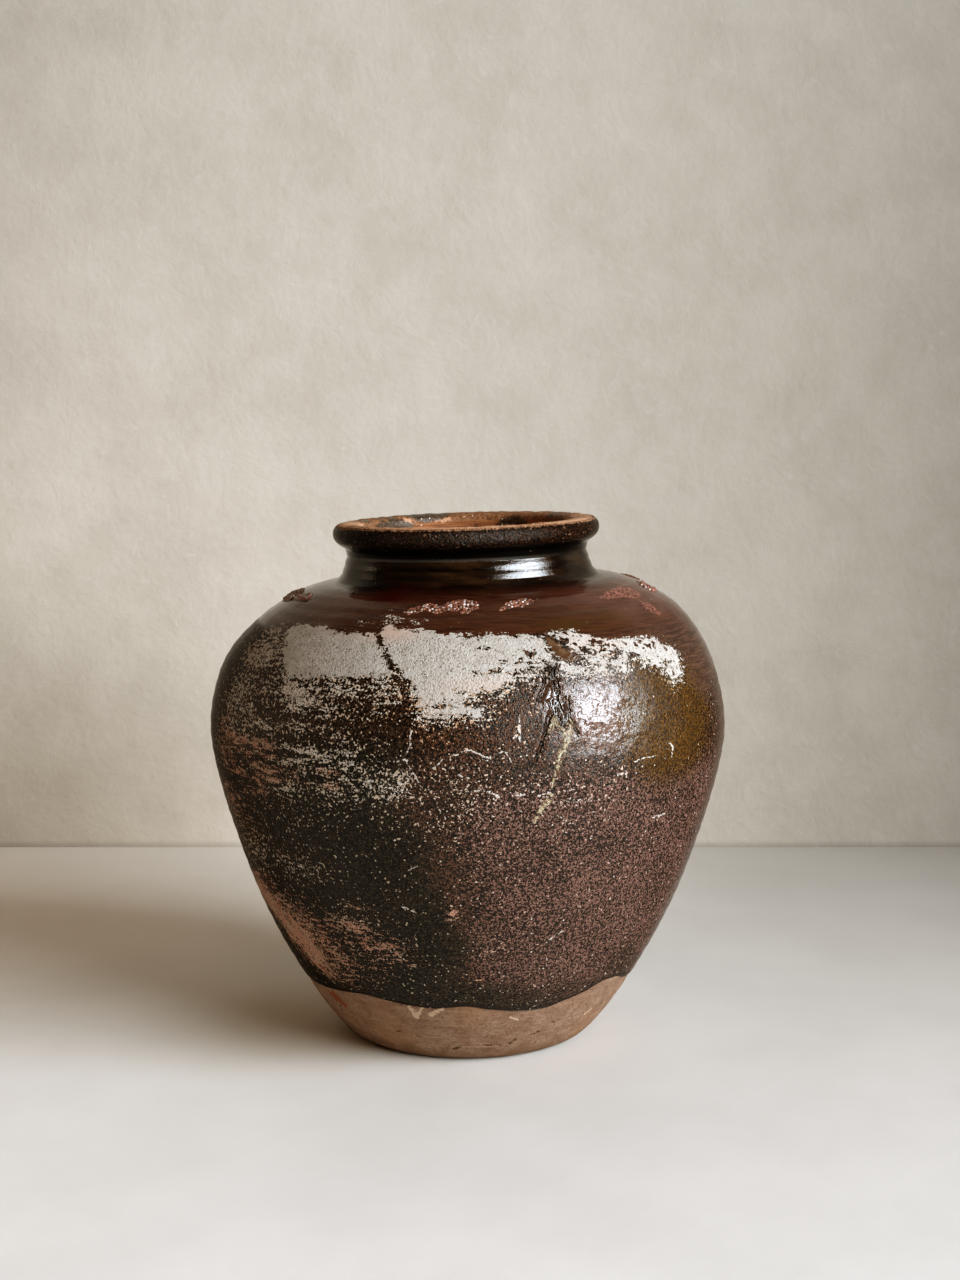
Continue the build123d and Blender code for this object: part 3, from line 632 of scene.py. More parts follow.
sh_curve = OUT[(OUT[:, 1] >= 180.0) & (OUT[:, 1] <= 266.0)]
s_rows, s_norm = pick(sh_curve, 4.0)
si = spline(SHOULDER_IN)[::-1]
si_rows, si_norm = pick(si, 2.5)
shoulder = ring_piece("shoulder_clay", cols_in, [(s_rows, s_norm, clay_share, True, True), (si_rows, si_norm, lambda a, z: plain_in(a, z) * ramp(z, 181, 190) * (1 - ramp(z, 258, 264)), True, True)], clay_attributes)

n_curve = OUT[(OUT[:, 1] >= 266.0) & (OUT_S < s_of(286.0) + 1e-6)]
n_rows, n_norm = pick(n_curve, 2.0)
ni = np.array([(59.5, z) for z in np.linspace(286.0, 266.0, 14)])
neck = ring_piece("neck_clay", columns(2.4, 2.8), [(n_rows, n_norm, clay_share, True, True), (ni, np.tile([-1.0, 0.0], (14, 1)), lambda a, z: 0.12 * np.sin(z / 3.4 * 2 * math.pi + np.radians(a)) - 0.12, True, True)], clay_attributes)


def rim_top_share(a, z):
    phi = np.radians(a)
    p = np.stack([66 * np.sin(phi), -66 * np.cos(phi), z], -1)
    return 0.30 * fractal(p * np.array([0.16, 0.16, 0.16]), 71, 3) - 0.36


def rim_attributes(a, z, kind):
    """Where the clay of the mouth is smoked dark, and where it is rubbed pale."""
    return {"hgt": z, "inside": (kind == 2).astype(float), "smut": spots(SMUT, a, z), "rub": spots(RUB, a, z)}


rc = spline(RIM_CLAY)
rc_rows, rc_norm = pick(rc, 1.2)
rt_rows, rt_norm = pick(spline(RIM_CROWN), 0.8)
ri = np.array([(59.5, z) for z in np.linspace(294.8, 286.0, 8)])
rim = ring_piece("rim_clay", columns(1.5, 2.0), [
    (rc_rows, rc_norm, lambda a, z: relief(a, z), True, False),
    (rt_rows[1:], rt_norm[1:], rim_top_share, False, False),
    (ri, np.tile([-1.0, 0.0], (8, 1)), lambda a, z: 0.12 * np.sin(z / 3.4 * 2 * math.pi + np.radians(a)) - 0.12, False, True)], rim_attributes)

# the foot slab closes on the axis below and inside
b_curve = OUT[OUT[:, 1] <= 11.0]
b_rows, b_norm = pick(b_curve, 0.8)
rad_in = np.array([(r, 0.0) for r in (8, 24, 40, 54, 62)])
rad_top = np.array([(r, 11.0) for r in (78, 68.5, 60, 45, 30, 14)])
cols = cols_clay
deg = cols[None, :]
grid = []
for r, z in rad_in:
    a = deg
    p = np.stack([r * np.sin(np.radians(a)), -r * np.cos(np.radians(a)), 0 * a], -1)
    grid.append(place(np.radians(a), r + 0 * a, 0 * a + 0.25 * ramp(np.array(58 - r), 0, 18)))
a = deg + 0 * b_rows[:, 1][:, None]
z = b_rows[:, 1][:, None] + 0 * a
d = foot_share(a, z)
grid.append(place(np.radians(a), b_rows[:, 0][:, None] + b_norm[:, 0][:, None] * d, np.maximum(z + b_norm[:, 1][:, None] * d, 0)))
for r, z in rad_top:
    w = 0.22 * np.sin(r / 6.0 * 2 * math.pi + np.radians(deg)) if r < 66 else 0 * deg
    grid.append(place(np.radians(deg), r + 0 * deg, z + w * 0.5 - (0.3 if r < 66 else 0)))
pts = np.concatenate([g.reshape(-1, 3) for g in grid])
n_rows_total = len(pts) // len(cols)
pts = np.concatenate([pts, [[0, 0, 0.00025], [0, 0, 0.0108]]])
c = len(cols)
j = np.arange(c)
tri_low = np.stack([np.full(c, len(pts) - 2), (j + 1) % c, j], -1)
last = (n_rows_total - 1) * c
tri_top = np.stack([np.full(c, len(pts) - 1), last + j, last + (j + 1) % c], -1)
zz = pts[:, 2] * 1000
aa = np.degrees(np.arctan2(pts[:, 0], -pts[:, 1]))
rr = np.hypot(pts[:, 0], pts[:, 1]) * 1000
inside = ((zz > 10.4) & (rr < 79)).astype(float)
foot = make_mesh("foot_clay", pts, [ring_faces(n_rows_total, c, close=False), tri_low, tri_top],
                 [5 * c + j, (5 + len(b_rows) - 1) * c + j],
                 {"hgt": zz, "inside": inside, "edge": zz - 39, **foot_marks(aa, np.where(inside > 0.5, 200.0, zz))})


# ---- lug roots: rough crumbs of broken clay -----------------------------------------------------
def root_patch(outline, seed, thick):
    """Points above and below a crumbly patch inside an outline, a little proud of the glaze, and how far each lies in
    from its edge.
    """
    o = np.array(outline, float)
    mid = o[:, 0].mean()
    a0, a1, z0, z1 = o[:, 0].min() - 1, o[:, 0].max() + 1, o[:, 1].min() - 0.8, o[:, 1].max() + 0.8
    na = int((a1 - a0) * math.pi / 180 * 100 / 0.55)
    nz = int((s_of(z1) - s_of(z0)) / 0.55)
    A, S = np.meshgrid(np.linspace(a0, a1, na), np.linspace(s_of(z0), s_of(z1), nz), indexing="ij")
    Z = np.interp(S, OUT_S, OUT[:, 1])
    d = inside_distance([outline], A, Z)
    phi = np.radians(A)
    R = r_of(Z)
    p = np.stack([R * np.sin(phi), -R * np.cos(phi), Z], -1)
    rough = fractal(p * 0.55, seed, 3, 0.6)
    edge = ramp(d + 1.1 * perlin(p * 0.4, seed + 5), -0.5, 1.6)
    high = -0.5 + edge * (0.55 + thick * (0.6 + 0.5 * perlin(p * 0.12, seed + 9))) + edge * 0.55 * rough
    nn = normals_of(OUT)
    nr, nz_ = np.interp(S, OUT_S, nn[:, 0]), np.interp(S, OUT_S, nn[:, 1])
    base = relief(A, Z)
    top = place(phi, R + nr * (base + high), Z + nz_ * (base + high))
    low = place(phi, R + nr * (base - 1.2), Z + nz_ * (base - 1.2))
    return top, low, edge


def root_piece(name, outlines, seed, thick):
    pts, faces, eg = [], [], []
    at = 0
    for k, o in enumerate(outlines):
        top, low, e = root_patch(o, seed + 31 * k, thick)
        n, m = top.shape[:2]
        pts += [top.reshape(-1, 3), low.reshape(-1, 3)]
        eg += [e.reshape(-1)] * 2
        i, j = np.meshgrid(np.arange(n - 1), np.arange(m - 1), indexing="ij")
        q = (i * m + j)
        up = np.stack([q, q + m, q + m + 1, q + 1], -1).reshape(-1, 4) + at
        faces += [up, up[:, ::-1] + n * m]
        rim_idx = np.concatenate([np.arange(m), np.arange(1, n) * m + m - 1, (n - 1) * m + np.arange(m - 2, -1, -1), np.arange(n - 2, 0, -1) * m])
        nxt = np.roll(rim_idx, -1)
        faces.append(np.stack([rim_idx, nxt, nxt + n * m, rim_idx + n * m], -1) + at)
        at += 2 * n * m
    return make_mesh(name, np.concatenate(pts), [np.concatenate(faces)], None, {"core": np.concatenate(eg)})


def oval(a, z, wa, wz, seed):
    """A ragged oval outline."""
    t = np.linspace(0, 2 * math.pi, 17)[:-1]
    w = 1 + 0.22 * perlin(np.stack([np.cos(t) * 1.6, np.sin(t) * 1.6, t * 0 + seed], -1), seed)
    return [(float(a + wa * k * math.cos(q)), float(z + wz * k * math.sin(q))) for q, k in zip(t, w)]


roots = {
    "roots_front": root_piece("roots_front", SCAR, 101, 0.35),
    "roots_right": root_piece("roots_right", [oval(84, 258.6, 6.0, 3.0, 3), oval(106, 259.6, 9.0, 3.0, 5)], 131, 1.1),
    "roots_back": root_piece("roots_back", [oval(174, 260.0, 9.0, 3.0, 7), oval(196, 260.0, 8.0, 2.8, 9)], 161, 0.6),
    "roots_left": root_piece("roots_left", [oval(-86.0, 259.9, 10.5, 3.2, 11), oval(-69.0, 260.9, 6.5, 2.3, 13)], 191, 1.4),
}


# =================================================================================================
# 4. Materials
# =================================================================================================
class Tree:
    def __init__(self, name):
        self.mat = bpy.data.materials.new(name)
        self.mat.use_nodes = True
        self.t = self.mat.node_tree
        self.t.nodes.clear()
        self.out = self.t.nodes.new("ShaderNodeOutputMaterial")
        tc = self.t.nodes.new("ShaderNodeTexCoord")
        self.mm = self.vec("SCALE", tc.outputs["Object"], scale=1000.0)
        self.cache = {}

    def put(self, socket, value):
        if isinstance(value, bpy.types.NodeSocket):
            self.t.links.new(value, socket)
        elif isinstance(value, (tuple, list)) and len(value) == 3 and socket.type == "RGBA":
            socket.default_value = (*value, 1.0)
        else:
            socket.default_value = value

    def math(self, op, a, b=None, c=None, clamp=False):
        n = self.t.nodes.new("ShaderNodeMath")
        n.operation = op
        n.use_clamp = clamp
        for i, v in enumerate((a, b, c)):
            if v is not None:
                self.put(n.inputs[i], v)
        return n.outputs[0]

    def add(self, a, b):
        return self.math("ADD", a, b)

    def sub(self, a, b):
        return self.math("SUBTRACT", a, b)

    def mul(self, a, b):
        return self.math("MULTIPLY", a, b)

    def mad(self, a, b, c):
        return self.math("MULTIPLY_ADD", a, b, c)

    def most(self, *v):
        out = v[0]
        for x in v[1:]:
            out = self.math("MAXIMUM", out, x)
        return out

    def least(self, *v):
        out = v[0]
        for x in v[1:]:
            out = self.math("MINIMUM", out, x)
        return out

    def clip(self, a):
        return self.math("ADD", a, 0.0, clamp=True)

    def vec(self, op, a, b=None, scale=None):
        n = self.t.nodes.new("ShaderNodeVectorMath")
        n.operation = op
        self.put(n.inputs[0], a)
        if b is not None:
            self.put(n.inputs[1], b)
        if scale is not None:
            self.put(n.inputs["Scale"], scale)
        return n.outputs["Value"] if op in ("DOT_PRODUCT", "LENGTH", "DISTANCE") else n.outputs["Vector"]

    def stretch(self, x, y, z):
        key = ("st", x, y, z)
        if key not in self.cache:
            self.cache[key] = self.vec("MULTIPLY", self.mm, (x, y, z))
        return self.cache[key]

    def step(self, x, lo, hi, a=0.0, b=1.0):
        n = self.t.nodes.new("ShaderNodeMapRange")
        n.interpolation_type = "SMOOTHSTEP"
        n.clamp = True
        self.put(n.inputs["Value"], x)
        self.put(n.inputs["From Min"], lo)
        self.put(n.inputs["From Max"], hi)
        self.put(n.inputs["To Min"], a)
        self.put(n.inputs["To Max"], b)
        return n.outputs["Result"]

    def line(self, x, lo, hi, a=0.0, b=1.0):
        n = self.t.nodes.new("ShaderNodeMapRange")
        n.clamp = True
        self.put(n.inputs["Value"], x)
        self.put(n.inputs["From Min"], lo)
        self.put(n.inputs["From Max"], hi)
        self.put(n.inputs["To Min"], a)
        self.put(n.inputs["To Max"], b)
        return n.outputs["Result"]

    def noise(self, size, vector=None, detail=2.0, rough=0.5, seed=0.0, colour=False):
        """Noise whose features are about size mm, 0 to 1 around 0.5."""
        n = self.t.nodes.new("ShaderNodeTexNoise")
        n.noise_dimensions = "3D"
        v = self.mm if vector is None else vector
        if seed:
            v = self.vec("ADD", v, (seed, seed * 1.7, seed * 0.6))
        self.put(n.inputs["Vector"], v)
        n.inputs["Scale"].default_value = 1.0 / size
        n.inputs["Detail"].default_value = detail
        n.inputs["Roughness"].default_value = rough
        return n.outputs["Color"] if colour else n.outputs["Fac"]

    def cells(self, size, feature="F1", vector=None, output="Distance", rand=1.0, seed=0.0):
        n = self.t.nodes.new("ShaderNodeTexVoronoi")
        n.voronoi_dimensions = "3D"
        n.feature = feature
        v = self.mm if vector is None else vector
        if seed:
            v = self.vec("ADD", v, (seed, seed * 1.7, seed * 0.6))
        self.put(n.inputs["Vector"], v)
        n.inputs["Scale"].default_value = 1.0 / size
        n.inputs["Randomness"].default_value = rand
        return n.outputs[output]

    def split(self, colour):
        n = self.t.nodes.new("ShaderNodeSeparateColor")
        self.put(n.inputs[0], colour)
        return n.outputs

    def mix(self, f, a, b, kind="MIX"):
        n = self.t.nodes.new("ShaderNodeMix")
        n.data_type = "RGBA"
        n.blend_type = kind
        self.put(n.inputs["Factor"], f)
        self.put(n.inputs[6], a)
        self.put(n.inputs[7], b)
        return n.outputs[2]

    def mixf(self, f, a, b):
        n = self.t.nodes.new("ShaderNodeMix")
        n.data_type = "FLOAT"
        self.put(n.inputs["Factor"], f)
        self.put(n.inputs[2], a)
        self.put(n.inputs[3], b)
        return n.outputs[0]

    def attr(self, name, vector=False):
        key = ("at", name, vector)
        if key not in self.cache:
            n = self.t.nodes.new("ShaderNodeAttribute")
            n.attribute_name = name
            self.cache[key] = n.outputs["Vector"] if vector else n.outputs["Fac"]
        return self.cache[key]

    def mark(self, k, wobble, ragged):
        """Cover of the thin marks of one kind, from the signed and plain distances kept on the mesh."""
        if "side" not in self.cache:
            self.cache["side"] = self.split(self.attr("side", True))
            self.cache["near"] = self.split(self.attr("near", True))
        side = self.math("ABSOLUTE", self.add(self.cache["side"][k], wobble))
        on = self.step(self.add(side, ragged), 1.15, 0.75)
        return self.mul(on, self.step(self.cache["near"][k], 1.1, 0.6))

    def bump(self, height, distance, strength=1.0, normal=None):
        n = self.t.nodes.new("ShaderNodeBump")
        n.inputs["Strength"].default_value = strength
        n.inputs["Distance"].default_value = distance
        self.put(n.inputs["Height"], height)
        if normal is not None:
            self.put(n.inputs["Normal"], normal)
        return n.outputs["Normal"]

    def finish(self, colour, rough, normal, specular=0.5, ior=1.5):
        b = self.t.nodes.new("ShaderNodeBsdfPrincipled")
        self.put(b.inputs["Base Color"], colour)
        self.put(b.inputs["Roughness"], rough)
        b.inputs["IOR"].default_value = ior
        self.put(b.inputs["Specular IOR Level"], specular)
        if normal is not None:
            self.put(b.inputs["Normal"], normal)
        self.t.links.new(b.outputs[0], self.out.inputs["Surface"])
        return self.mat


def rgb(r, g, b):
    """sRGB 0-255 to linear."""
    return tuple(((c / 255 + 0.055) / 1.055) ** 2.4 if c > 10 else c / 255 / 12.92 for c in (r, g, b))


# ---- brown glaze with crust and wear ------------------------------------------------------------
g = Tree("brown_glaze")
glassy = g.attr("glassy")
fine = g.noise(0.85, detail=1.5, rough=0.6)
grain = g.noise(1.35, detail=2.5, rough=0.7, seed=13.0)
mid = g.noise(5.5, detail=3.0, rough=0.6, seed=31.0)
wide = g.noise(26.0, detail=3.0, rough=0.55, seed=57.0)
streak = g.noise(1.5, g.stretch(0.20, 0.20, 1.0), detail=2.0, rough=0.6, seed=5.0)
streak_wide = g.noise(4.5, g.stretch(0.22, 0.22, 1.0), detail=2.5, rough=0.6, seed=77.0)
brush = g.noise(0.9, g.stretch(0.05, 0.05, 1.0), detail=3.0, rough=0.65, seed=91.0)
sp = g.add(g.mul(grain, 0.58), g.mul(fine, 0.42))
grain_off = g.sub(sp, 0.5)
mid_off = g.sub(mid, 0.5)

# tones of the pitted glass: which zone, dissolved grain by grain at its border
z_purple = g.step(g.add(g.attr("purple"), g.mad(grain_off, 1.8, g.mul(mid_off, 0.4))), 0.15, 0.90)
z_black = g.step(g.add(g.attr("black"), g.mad(grain_off, 1.8, g.mul(mid_off, 0.5))), 0.15, 0.90)
z_olive = g.step(g.add(g.attr("olive"), g.mad(grain_off, 1.3, g.mul(mid_off, 0.5))), 0.20, 0.85)
z_orange = g.step(g.add(g.attr("orange"), g.mad(grain_off, 0.9, g.mul(mid_off, 0.8))), 0.35, 0.80)


def zoned(brown, orange, purple, black, olive):
    c1 = g.mix(z_orange, rgb(*brown), rgb(*orange))
    c1 = g.mix(z_purple, c1, rgb(*purple))
    c1 = g.mix(z_black, c1, rgb(*black))
    return g.mix(z_olive, c1, rgb(*olive))


grit = g.step(g.add(sp, g.mul(g.sub(wide, 0.5), 0.07)), 0.494, 0.550)
body = g.mix(grit, zoned((13, 7, 5), (14, 8, 5), (22, 13, 11), (7, 6, 5), (45, 28, 8)),
             zoned((87, 60, 47), (84, 53, 35), (118, 87, 78), (55, 46, 37), (89, 60, 20)))
pale = g.noise(1.7, detail=1.0, rough=0.5, seed=143.0)
# pale specks in the pits: partly pale grains of the glaze, partly painted glints
pale_speck_and_glint = g.step(g.add(pale, g.mad(g.attr("speck"), 0.24, g.mul(z_olive, -0.05))), 0.705, 0.727)
pale_speck_and_glint = g.mul(pale_speck_and_glint, g.step(glassy, 0.85, 0.35))
body = g.mix(g.mul(pale_speck_and_glint, 0.85), body, zoned((214, 190, 172), (196, 158, 126), (186, 158, 144), (206, 190, 170), (150, 120, 80)))

# tone of the even glass of shoulder and neck
high_up = g.step(g.attr("hgt"), 263.0, 268.0)
even = g.mix(g.step(brush, 0.25, 0.75), rgb(45, 25, 17), rgb(76, 46, 33))
even = g.mix(g.mul(g.mul(g.attr("warm"), g.sub(1.0, high_up)), g.step(g.add(g.mul(streak_wide, 0.75), g.mul(brush, 0.25)), 0.28, 0.66)), even, rgb(84, 54, 46))
even = g.mix(g.mul(high_up, 0.95), even, g.mix(g.step(streak_wide, 0.45, 0.72), rgb(5, 3, 2), rgb(38, 25, 14)))
# painted shade: a near-black band under the rim roll, where its gloss is also taken down
painted_lip_shade = g.mul(g.step(g.attr("hgt"), 281.2, 283.2), g.step(g.attr("hgt"), 289.0, 287.5))
even = g.mix(g.mul(painted_lip_shade, 0.85), even, rgb(4, 3, 2))
even = g.mix(g.math("MULTIPLY", g.attr("red"), g.step(wide, 0.25, 0.6), clamp=True), even, rgb(52, 13, 8))
even = g.mix(g.math("MULTIPLY", g.attr("amber"), g.step(streak_wide, 0.25, 0.55), clamp=True), even, rgb(64, 42, 20))
# below the crust: purple-brown glass, lightest where the lumps lie, partly its own tone and partly a painted
# highlight where the window's reflection falls
lump_tone_and_highlight = g.mix(g.attr("lumpy"), g.mix(g.step(g.add(g.mul(brush, 0.6), g.mul(sp, 0.4)), 0.42, 0.62), rgb(44, 27, 21), rgb(84, 58, 47)),
                  g.mix(g.step(sp, 0.40, 0.58), rgb(64, 42, 34), rgb(120, 92, 80)))
even = g.mix(g.step(g.attr("hgt"), 247.0, 236.0), even, lump_tone_and_highlight)
even = g.mix(g.mul(z_olive, g.step(g.attr("hgt"), 247.0, 236.0)), even, g.mix(grit, rgb(45, 29, 10), rgb(92, 64, 26)))
# the gap in the crust: lighter grey-brown glass, partly its own tone and partly a painted reflection
even = g.mix(g.attr("gap"), even, g.mix(g.step(mid, 0.35, 0.65), rgb(74, 52, 38), rgb(100, 78, 62)))
colour = g.mix(g.step(g.add(glassy, g.mul(grain_off, 0.8)), 0.25, 0.75), body, even)

# deep brown line over the glaze's lower edge
low_edge = g.step(g.add(g.attr("edge"), g.mul(mid_off, 6.0)), 6.0, 0.5)
colour = g.mix(g.mul(low_edge, 0.7), colour, rgb(24, 19, 16))

# grainy rim roll, clay showing along its top
wear_n = g.add(g.attr("wear"), g.mul(grain_off, 1.3))
roll = g.step(g.attr("hgt"), 287.5, 290.5)
colour = g.mix(g.mul(roll, 0.9), colour, g.mix(g.step(sp, 0.48, 0.60), rgb(16, 9, 6), rgb(64, 40, 27)))
colour = g.mix(g.mul(roll, g.step(pale, 0.70, 0.73)), colour, rgb(120, 96, 80))
wear = g.step(wear_n, 0.60, 0.80)
colour = g.mix(g.mul(wear, 0.9), colour, g.mix(grit, rgb(92, 62, 46), rgb(178, 138, 110)))

# clay showing through, streaked along the turning
tan_noise = g.mad(g.sub(streak, 0.5), 1.25, g.mul(grain_off, 2.0))
tan_at = g.mul(g.step(g.mad(g.attr("tan"), 0.61, tan_noise), 0.35, 0.44), g.step(g.attr("tan"), 0.03, 0.12))
along = (0.637, -0.358, -0.682)
drag = g.noise(1.5, g.vec("ADD", g.mm, g.vec("SCALE", along, scale=g.mul(g.vec("DOT_PRODUCT", g.mm, along), -0.86))), detail=2.5, rough=0.65, seed=23.0)
tan_edge = g.step(g.add(g.attr("tanband"), g.mul(g.sub(streak_wide, 0.5), 10.0)), -8.0, 13.0)
tan_at = g.most(tan_at, g.mul(g.step(tan_edge, 0.03, 0.20), g.step(g.mad(tan_edge, 0.58, g.mad(g.sub(drag, 0.5), 1.9, g.mul(grain_off, 1.8))), 0.35, 0.46)))
tan_tone = g.mix(g.step(mid, 0.38, 0.62), rgb(184, 136, 118), rgb(176, 146, 127))
tan_tone = g.mix(g.step(sp, 0.40, 0.48), g.mix(0.45, tan_tone, rgb(64, 44, 34)), tan_tone)
colour = g.mix(g.mul(tan_at, 0.92), colour, tan_tone)

# lime crust: solid patches with ragged, streaked edges, then grains of it in the pits
ragged = g.add(g.mul(g.sub(streak, 0.5), 7.5), g.add(g.mul(grain_off, 8.5), g.mul(mid_off, 3.0)))
hole = g.mul(g.step(g.noise(3.3, detail=1.0, seed=201.0), 0.56, 0.64), g.attr("holey"))
solid = g.step(g.sub(g.add(g.attr("lime"), g.mul(ragged, g.mad(g.attr("holey"), 0.5, 0.85))), g.mul(hole, 9.0)), -0.25, 0.35)
speck_noise = g.mixf(g.attr("dash"), g.mad(grain_off, 0.95, g.mad(streak, 0.44, 0.33)), g.mad(grain_off, 0.70, g.mad(streak, 0.62, 0.24)))
bits = g.step(g.sub(g.add(g.mul(g.attr("speck"), 0.42), speck_noise), 0.765), -0.015, 0.045)
bits = g.mul(bits, g.step(g.attr("gap"), 0.6, 0.2))
lime_at = g.most(solid, bits)
lime_tone = g.mix(g.step(g.noise(1.25, detail=1.5, rough=0.6, seed=8.0), 0.34, 0.44), rgb(130, 121, 111), g.mix(g.step(mid, 0.3, 0.7), rgb(176, 169, 161), rgb(190, 184, 177)))
lime_tone = g.mix(g.mul(g.attr("pink"), 0.75), lime_tone, rgb(206, 176, 162))
bit_tone = g.mix(g.step(fine, 0.38, 0.58), rgb(146, 134, 120), rgb(220, 211, 201))
bit_tone = g.mix(g.mul(z_black, 0.12), bit_tone, rgb(170, 160, 146))
colour = g.mix(lime_at, colour, g.mix(solid, bit_tone, lime_tone))

# scuffed reddish patches on the shoulder
scuff = g.step(g.add(g.attr("scuff"), g.mul(grain_off, 14.0)), -0.4, 0.8)
colour = g.mix(g.mul(scuff, 0.85), colour, g.mix(g.step(sp, 0.46, 0.56), rgb(48, 22, 17), rgb(158, 102, 90)))

# white flecks: partly pale grains, partly painted glints
spark = g.cells(3.4, seed=44.0)
spark_id = g.split(g.cells(3.4, output="Color", seed=44.0))
fleck_and_glint = g.mul(g.step(spark, 0.17, 0.09), g.math("LESS_THAN", spark_id[0], g.mad(g.attr("speck"), 0.5, 0.10)))
fleck_and_glint = g.mul(fleck_and_glint, g.step(glassy, 0.9, 0.4))
colour = g.mix(g.mul(fleck_and_glint, 0.9), colour, rgb(224, 214, 204))

# thin marks
wob = g.mul(g.sub(g.noise(2.4, detail=1.0, seed=19.0), 0.5), 3.2)
rag = g.mul(grain_off, 5.0)
white_at = g.mul(g.mark(0, wob, g.add(rag, 0.42)), g.step(pale, 0.37, 0.49))
cream_at = g.mul(g.mark(1, wob, g.mul(g.sub(fine, 0.5), 7.0)), g.step(pale, 0.40, 0.52))
groove_shade_at = g.mul(g.mark(2, wob, rag), g.step(pale, 0.33, 0.43))
fold = g.math("ABSOLUTE", g.add(g.cache["side"][2], wob))
fold = g.mul(g.step(fold, 0.0, 1.6), g.step(g.math("ABSOLUTE", g.sub(fold, 1.9)), 1.6, 0.0))
fold = g.mul(fold, g.step(g.cache["near"][2], 2.6, 1.2))
# painted shade: near-black along the grooves of the wrinkled run
colour = g.mix(g.mul(groove_shade_at, 0.85), colour, rgb(18, 12, 9))
colour = g.mix(g.mul(cream_at, 0.9), colour, g.mix(g.step(fine, 0.40, 0.60), rgb(146, 126, 94), rgb(230, 220, 192)))
colour = g.mix(g.mul(white_at, 0.85), colour, rgb(218, 208, 198))

# gloss
rough = g.mixf(g.step(glassy, 0.1, 0.8), g.mixf(g.attr("olive"), g.mixf(grit, 0.30, 0.44), 0.22), g.mixf(brush, 0.08, 0.16))
rough = g.mixf(g.attr("lumpy"), rough, 0.165)
rough = g.mixf(g.mul(roll, 0.9), rough, 0.13)
rough = g.mixf(wear, rough, 0.45)
rough = g.mixf(g.most(tan_at, g.most(white_at, cream_at)), rough, 0.62)
rough = g.mixf(lime_at, rough, 0.80)

# relief
pit = g.cells(1.9, seed=3.0)
uneven = g.step(glassy, 0.9, 0.1)
h = g.mul(g.step(pit, 0.10, 0.42), g.mul(uneven, 0.14))
h = g.add(h, g.mul(grain_off, g.mad(uneven, 0.75, g.mad(roll, 1.4, g.mad(g.attr("lumpy"), 0.20, g.mad(high_up, 0.10, 0.05))))))
h = g.add(h, g.mul(g.sub(brush, 0.5), g.mad(high_up, 0.08, 0.04)))
h = g.add(h, g.mul(mid_off, g.mad(uneven, 0.25, g.mad(roll, 1.3, 0.10))))
h = g.add(h, g.mul(g.mul(g.sub(g.noise(7.0, detail=2.5, rough=0.52, seed=301.0), 0.5), g.attr("lumpy")), 2.6))
h = g.add(h, g.mul(lime_at, g.mad(fine, 0.12, 0.14)))
h = g.sub(h, g.mul(tan_at, 0.16))
h = g.sub(h, g.mul(groove_shade_at, 0.35))
h = g.add(h, g.mul(fold, 1.1))
h = g.add(h, g.mul(g.most(white_at, cream_at), 0.14))
h = g.add(h, g.mul(fleck_and_glint, 0.2))
normal = g.bump(h, 0.001)
# the glint sinks away at grazing angles, quickly where the glass is pitted
facing = g.t.nodes.new("ShaderNodeLayerWeight")
facing.inputs["Blend"].default_value = 0.5
graze = g.step(facing.outputs["Facing"], 0.20, 0.72)
gloss = g.mixf(g.step(glassy, 0.1, 0.8), g.mixf(graze, 0.31, 0.02), g.mixf(graze, 0.74, 0.08))
gloss = g.mixf(g.mul(roll, 0.97), gloss, g.step(facing.outputs["Facing"], 0.06, 0.34, 0.30, 0.01))
gloss = g.mixf(painted_lip_shade, g.mul(gloss, g.mad(g.attr("black"), -0.40, 1.0)), 0.05)
gloss = g.mixf(lime_at, gloss, 0.05)
glaze_mat = g.finish(colour, rough, normal, gloss, 1.5)

# ---- bare clay ----------------------------------------------------------------------------------
c = Tree("bare_clay")
fine = c.noise(0.8, detail=2.0, rough=0.6)
grain = c.noise(2.0, detail=3.0, rough=0.65, seed=9.0)
mid = c.noise(9.0, detail=3.0, rough=0.55, seed=27.0)
wide = c.noise(40.0, detail=2.0, seed=71.0)
ring = c.noise(1.6, c.stretch(0.08, 0.08, 1.0), detail=2.5, rough=0.6, seed=4.0)
clay = c.mix(c.step(mid, 0.32, 0.68), rgb(130, 101, 84), rgb(148, 121, 103))
clay = c.mix(c.step(c.add(c.mul(grain, 0.5), c.mul(fine, 0.5)), 0.38, 0.56), c.mix(0.62, clay, rgb(92, 64, 46)), clay)
clay = c.mix(c.mul(c.step(ring, 0.55, 0.75), 0.35), clay, rgb(184, 152, 126))
clay = c.mix(c.mul(c.step(wide, 0.45, 0.7), 0.35), clay, rgb(160, 118, 84))
hgt = c.attr("hgt")
# painted shade: the bare foot darkens towards its rounded bottom edge
foot_base_shade = c.step(c.add(hgt, c.mul(c.sub(mid, 0.5), 16.0)), 13.0, 1.0)
clay = c.mix(c.mul(foot_base_shade, 0.70), clay, rgb(100, 72, 48))
# painted shade on the underside, below 2.2 mm
under = c.step(hgt, 2.2, 0.1)
clay = c.mix(c.mul(under, 0.7), clay, rgb(64, 46, 34))
wob = c.mul(c.sub(c.noise(2.4, detail=1.0, seed=19.0), 0.5), 2.2)
mark = c.mark(0, wob, c.mul(c.sub(fine, 0.5), 1.6))
pale = c.mark(1, wob, c.mul(c.sub(grain, 0.5), 3.0))
rust = c.mark(2, wob, c.mul(c.sub(mid, 0.5), 3.0))
clay = c.mix(c.mul(pale, 0.65), clay, rgb(214, 186, 160))
clay = c.mix(c.mul(rust, 0.75), clay, rgb(128, 62, 28))
clay = c.mix(c.mul(mark, c.step(grain, 0.45, 0.55)), clay, rgb(36, 24, 18))
dots = c.mul(c.step(c.cells(3.6, seed=12.0), 0.17, 0.09), c.math("LESS_THAN", c.split(c.cells(3.6, output="Color", seed=12.0))[1], 0.22))
clay = c.mix(c.mul(dots, 0.75), clay, rgb(78, 54, 40))
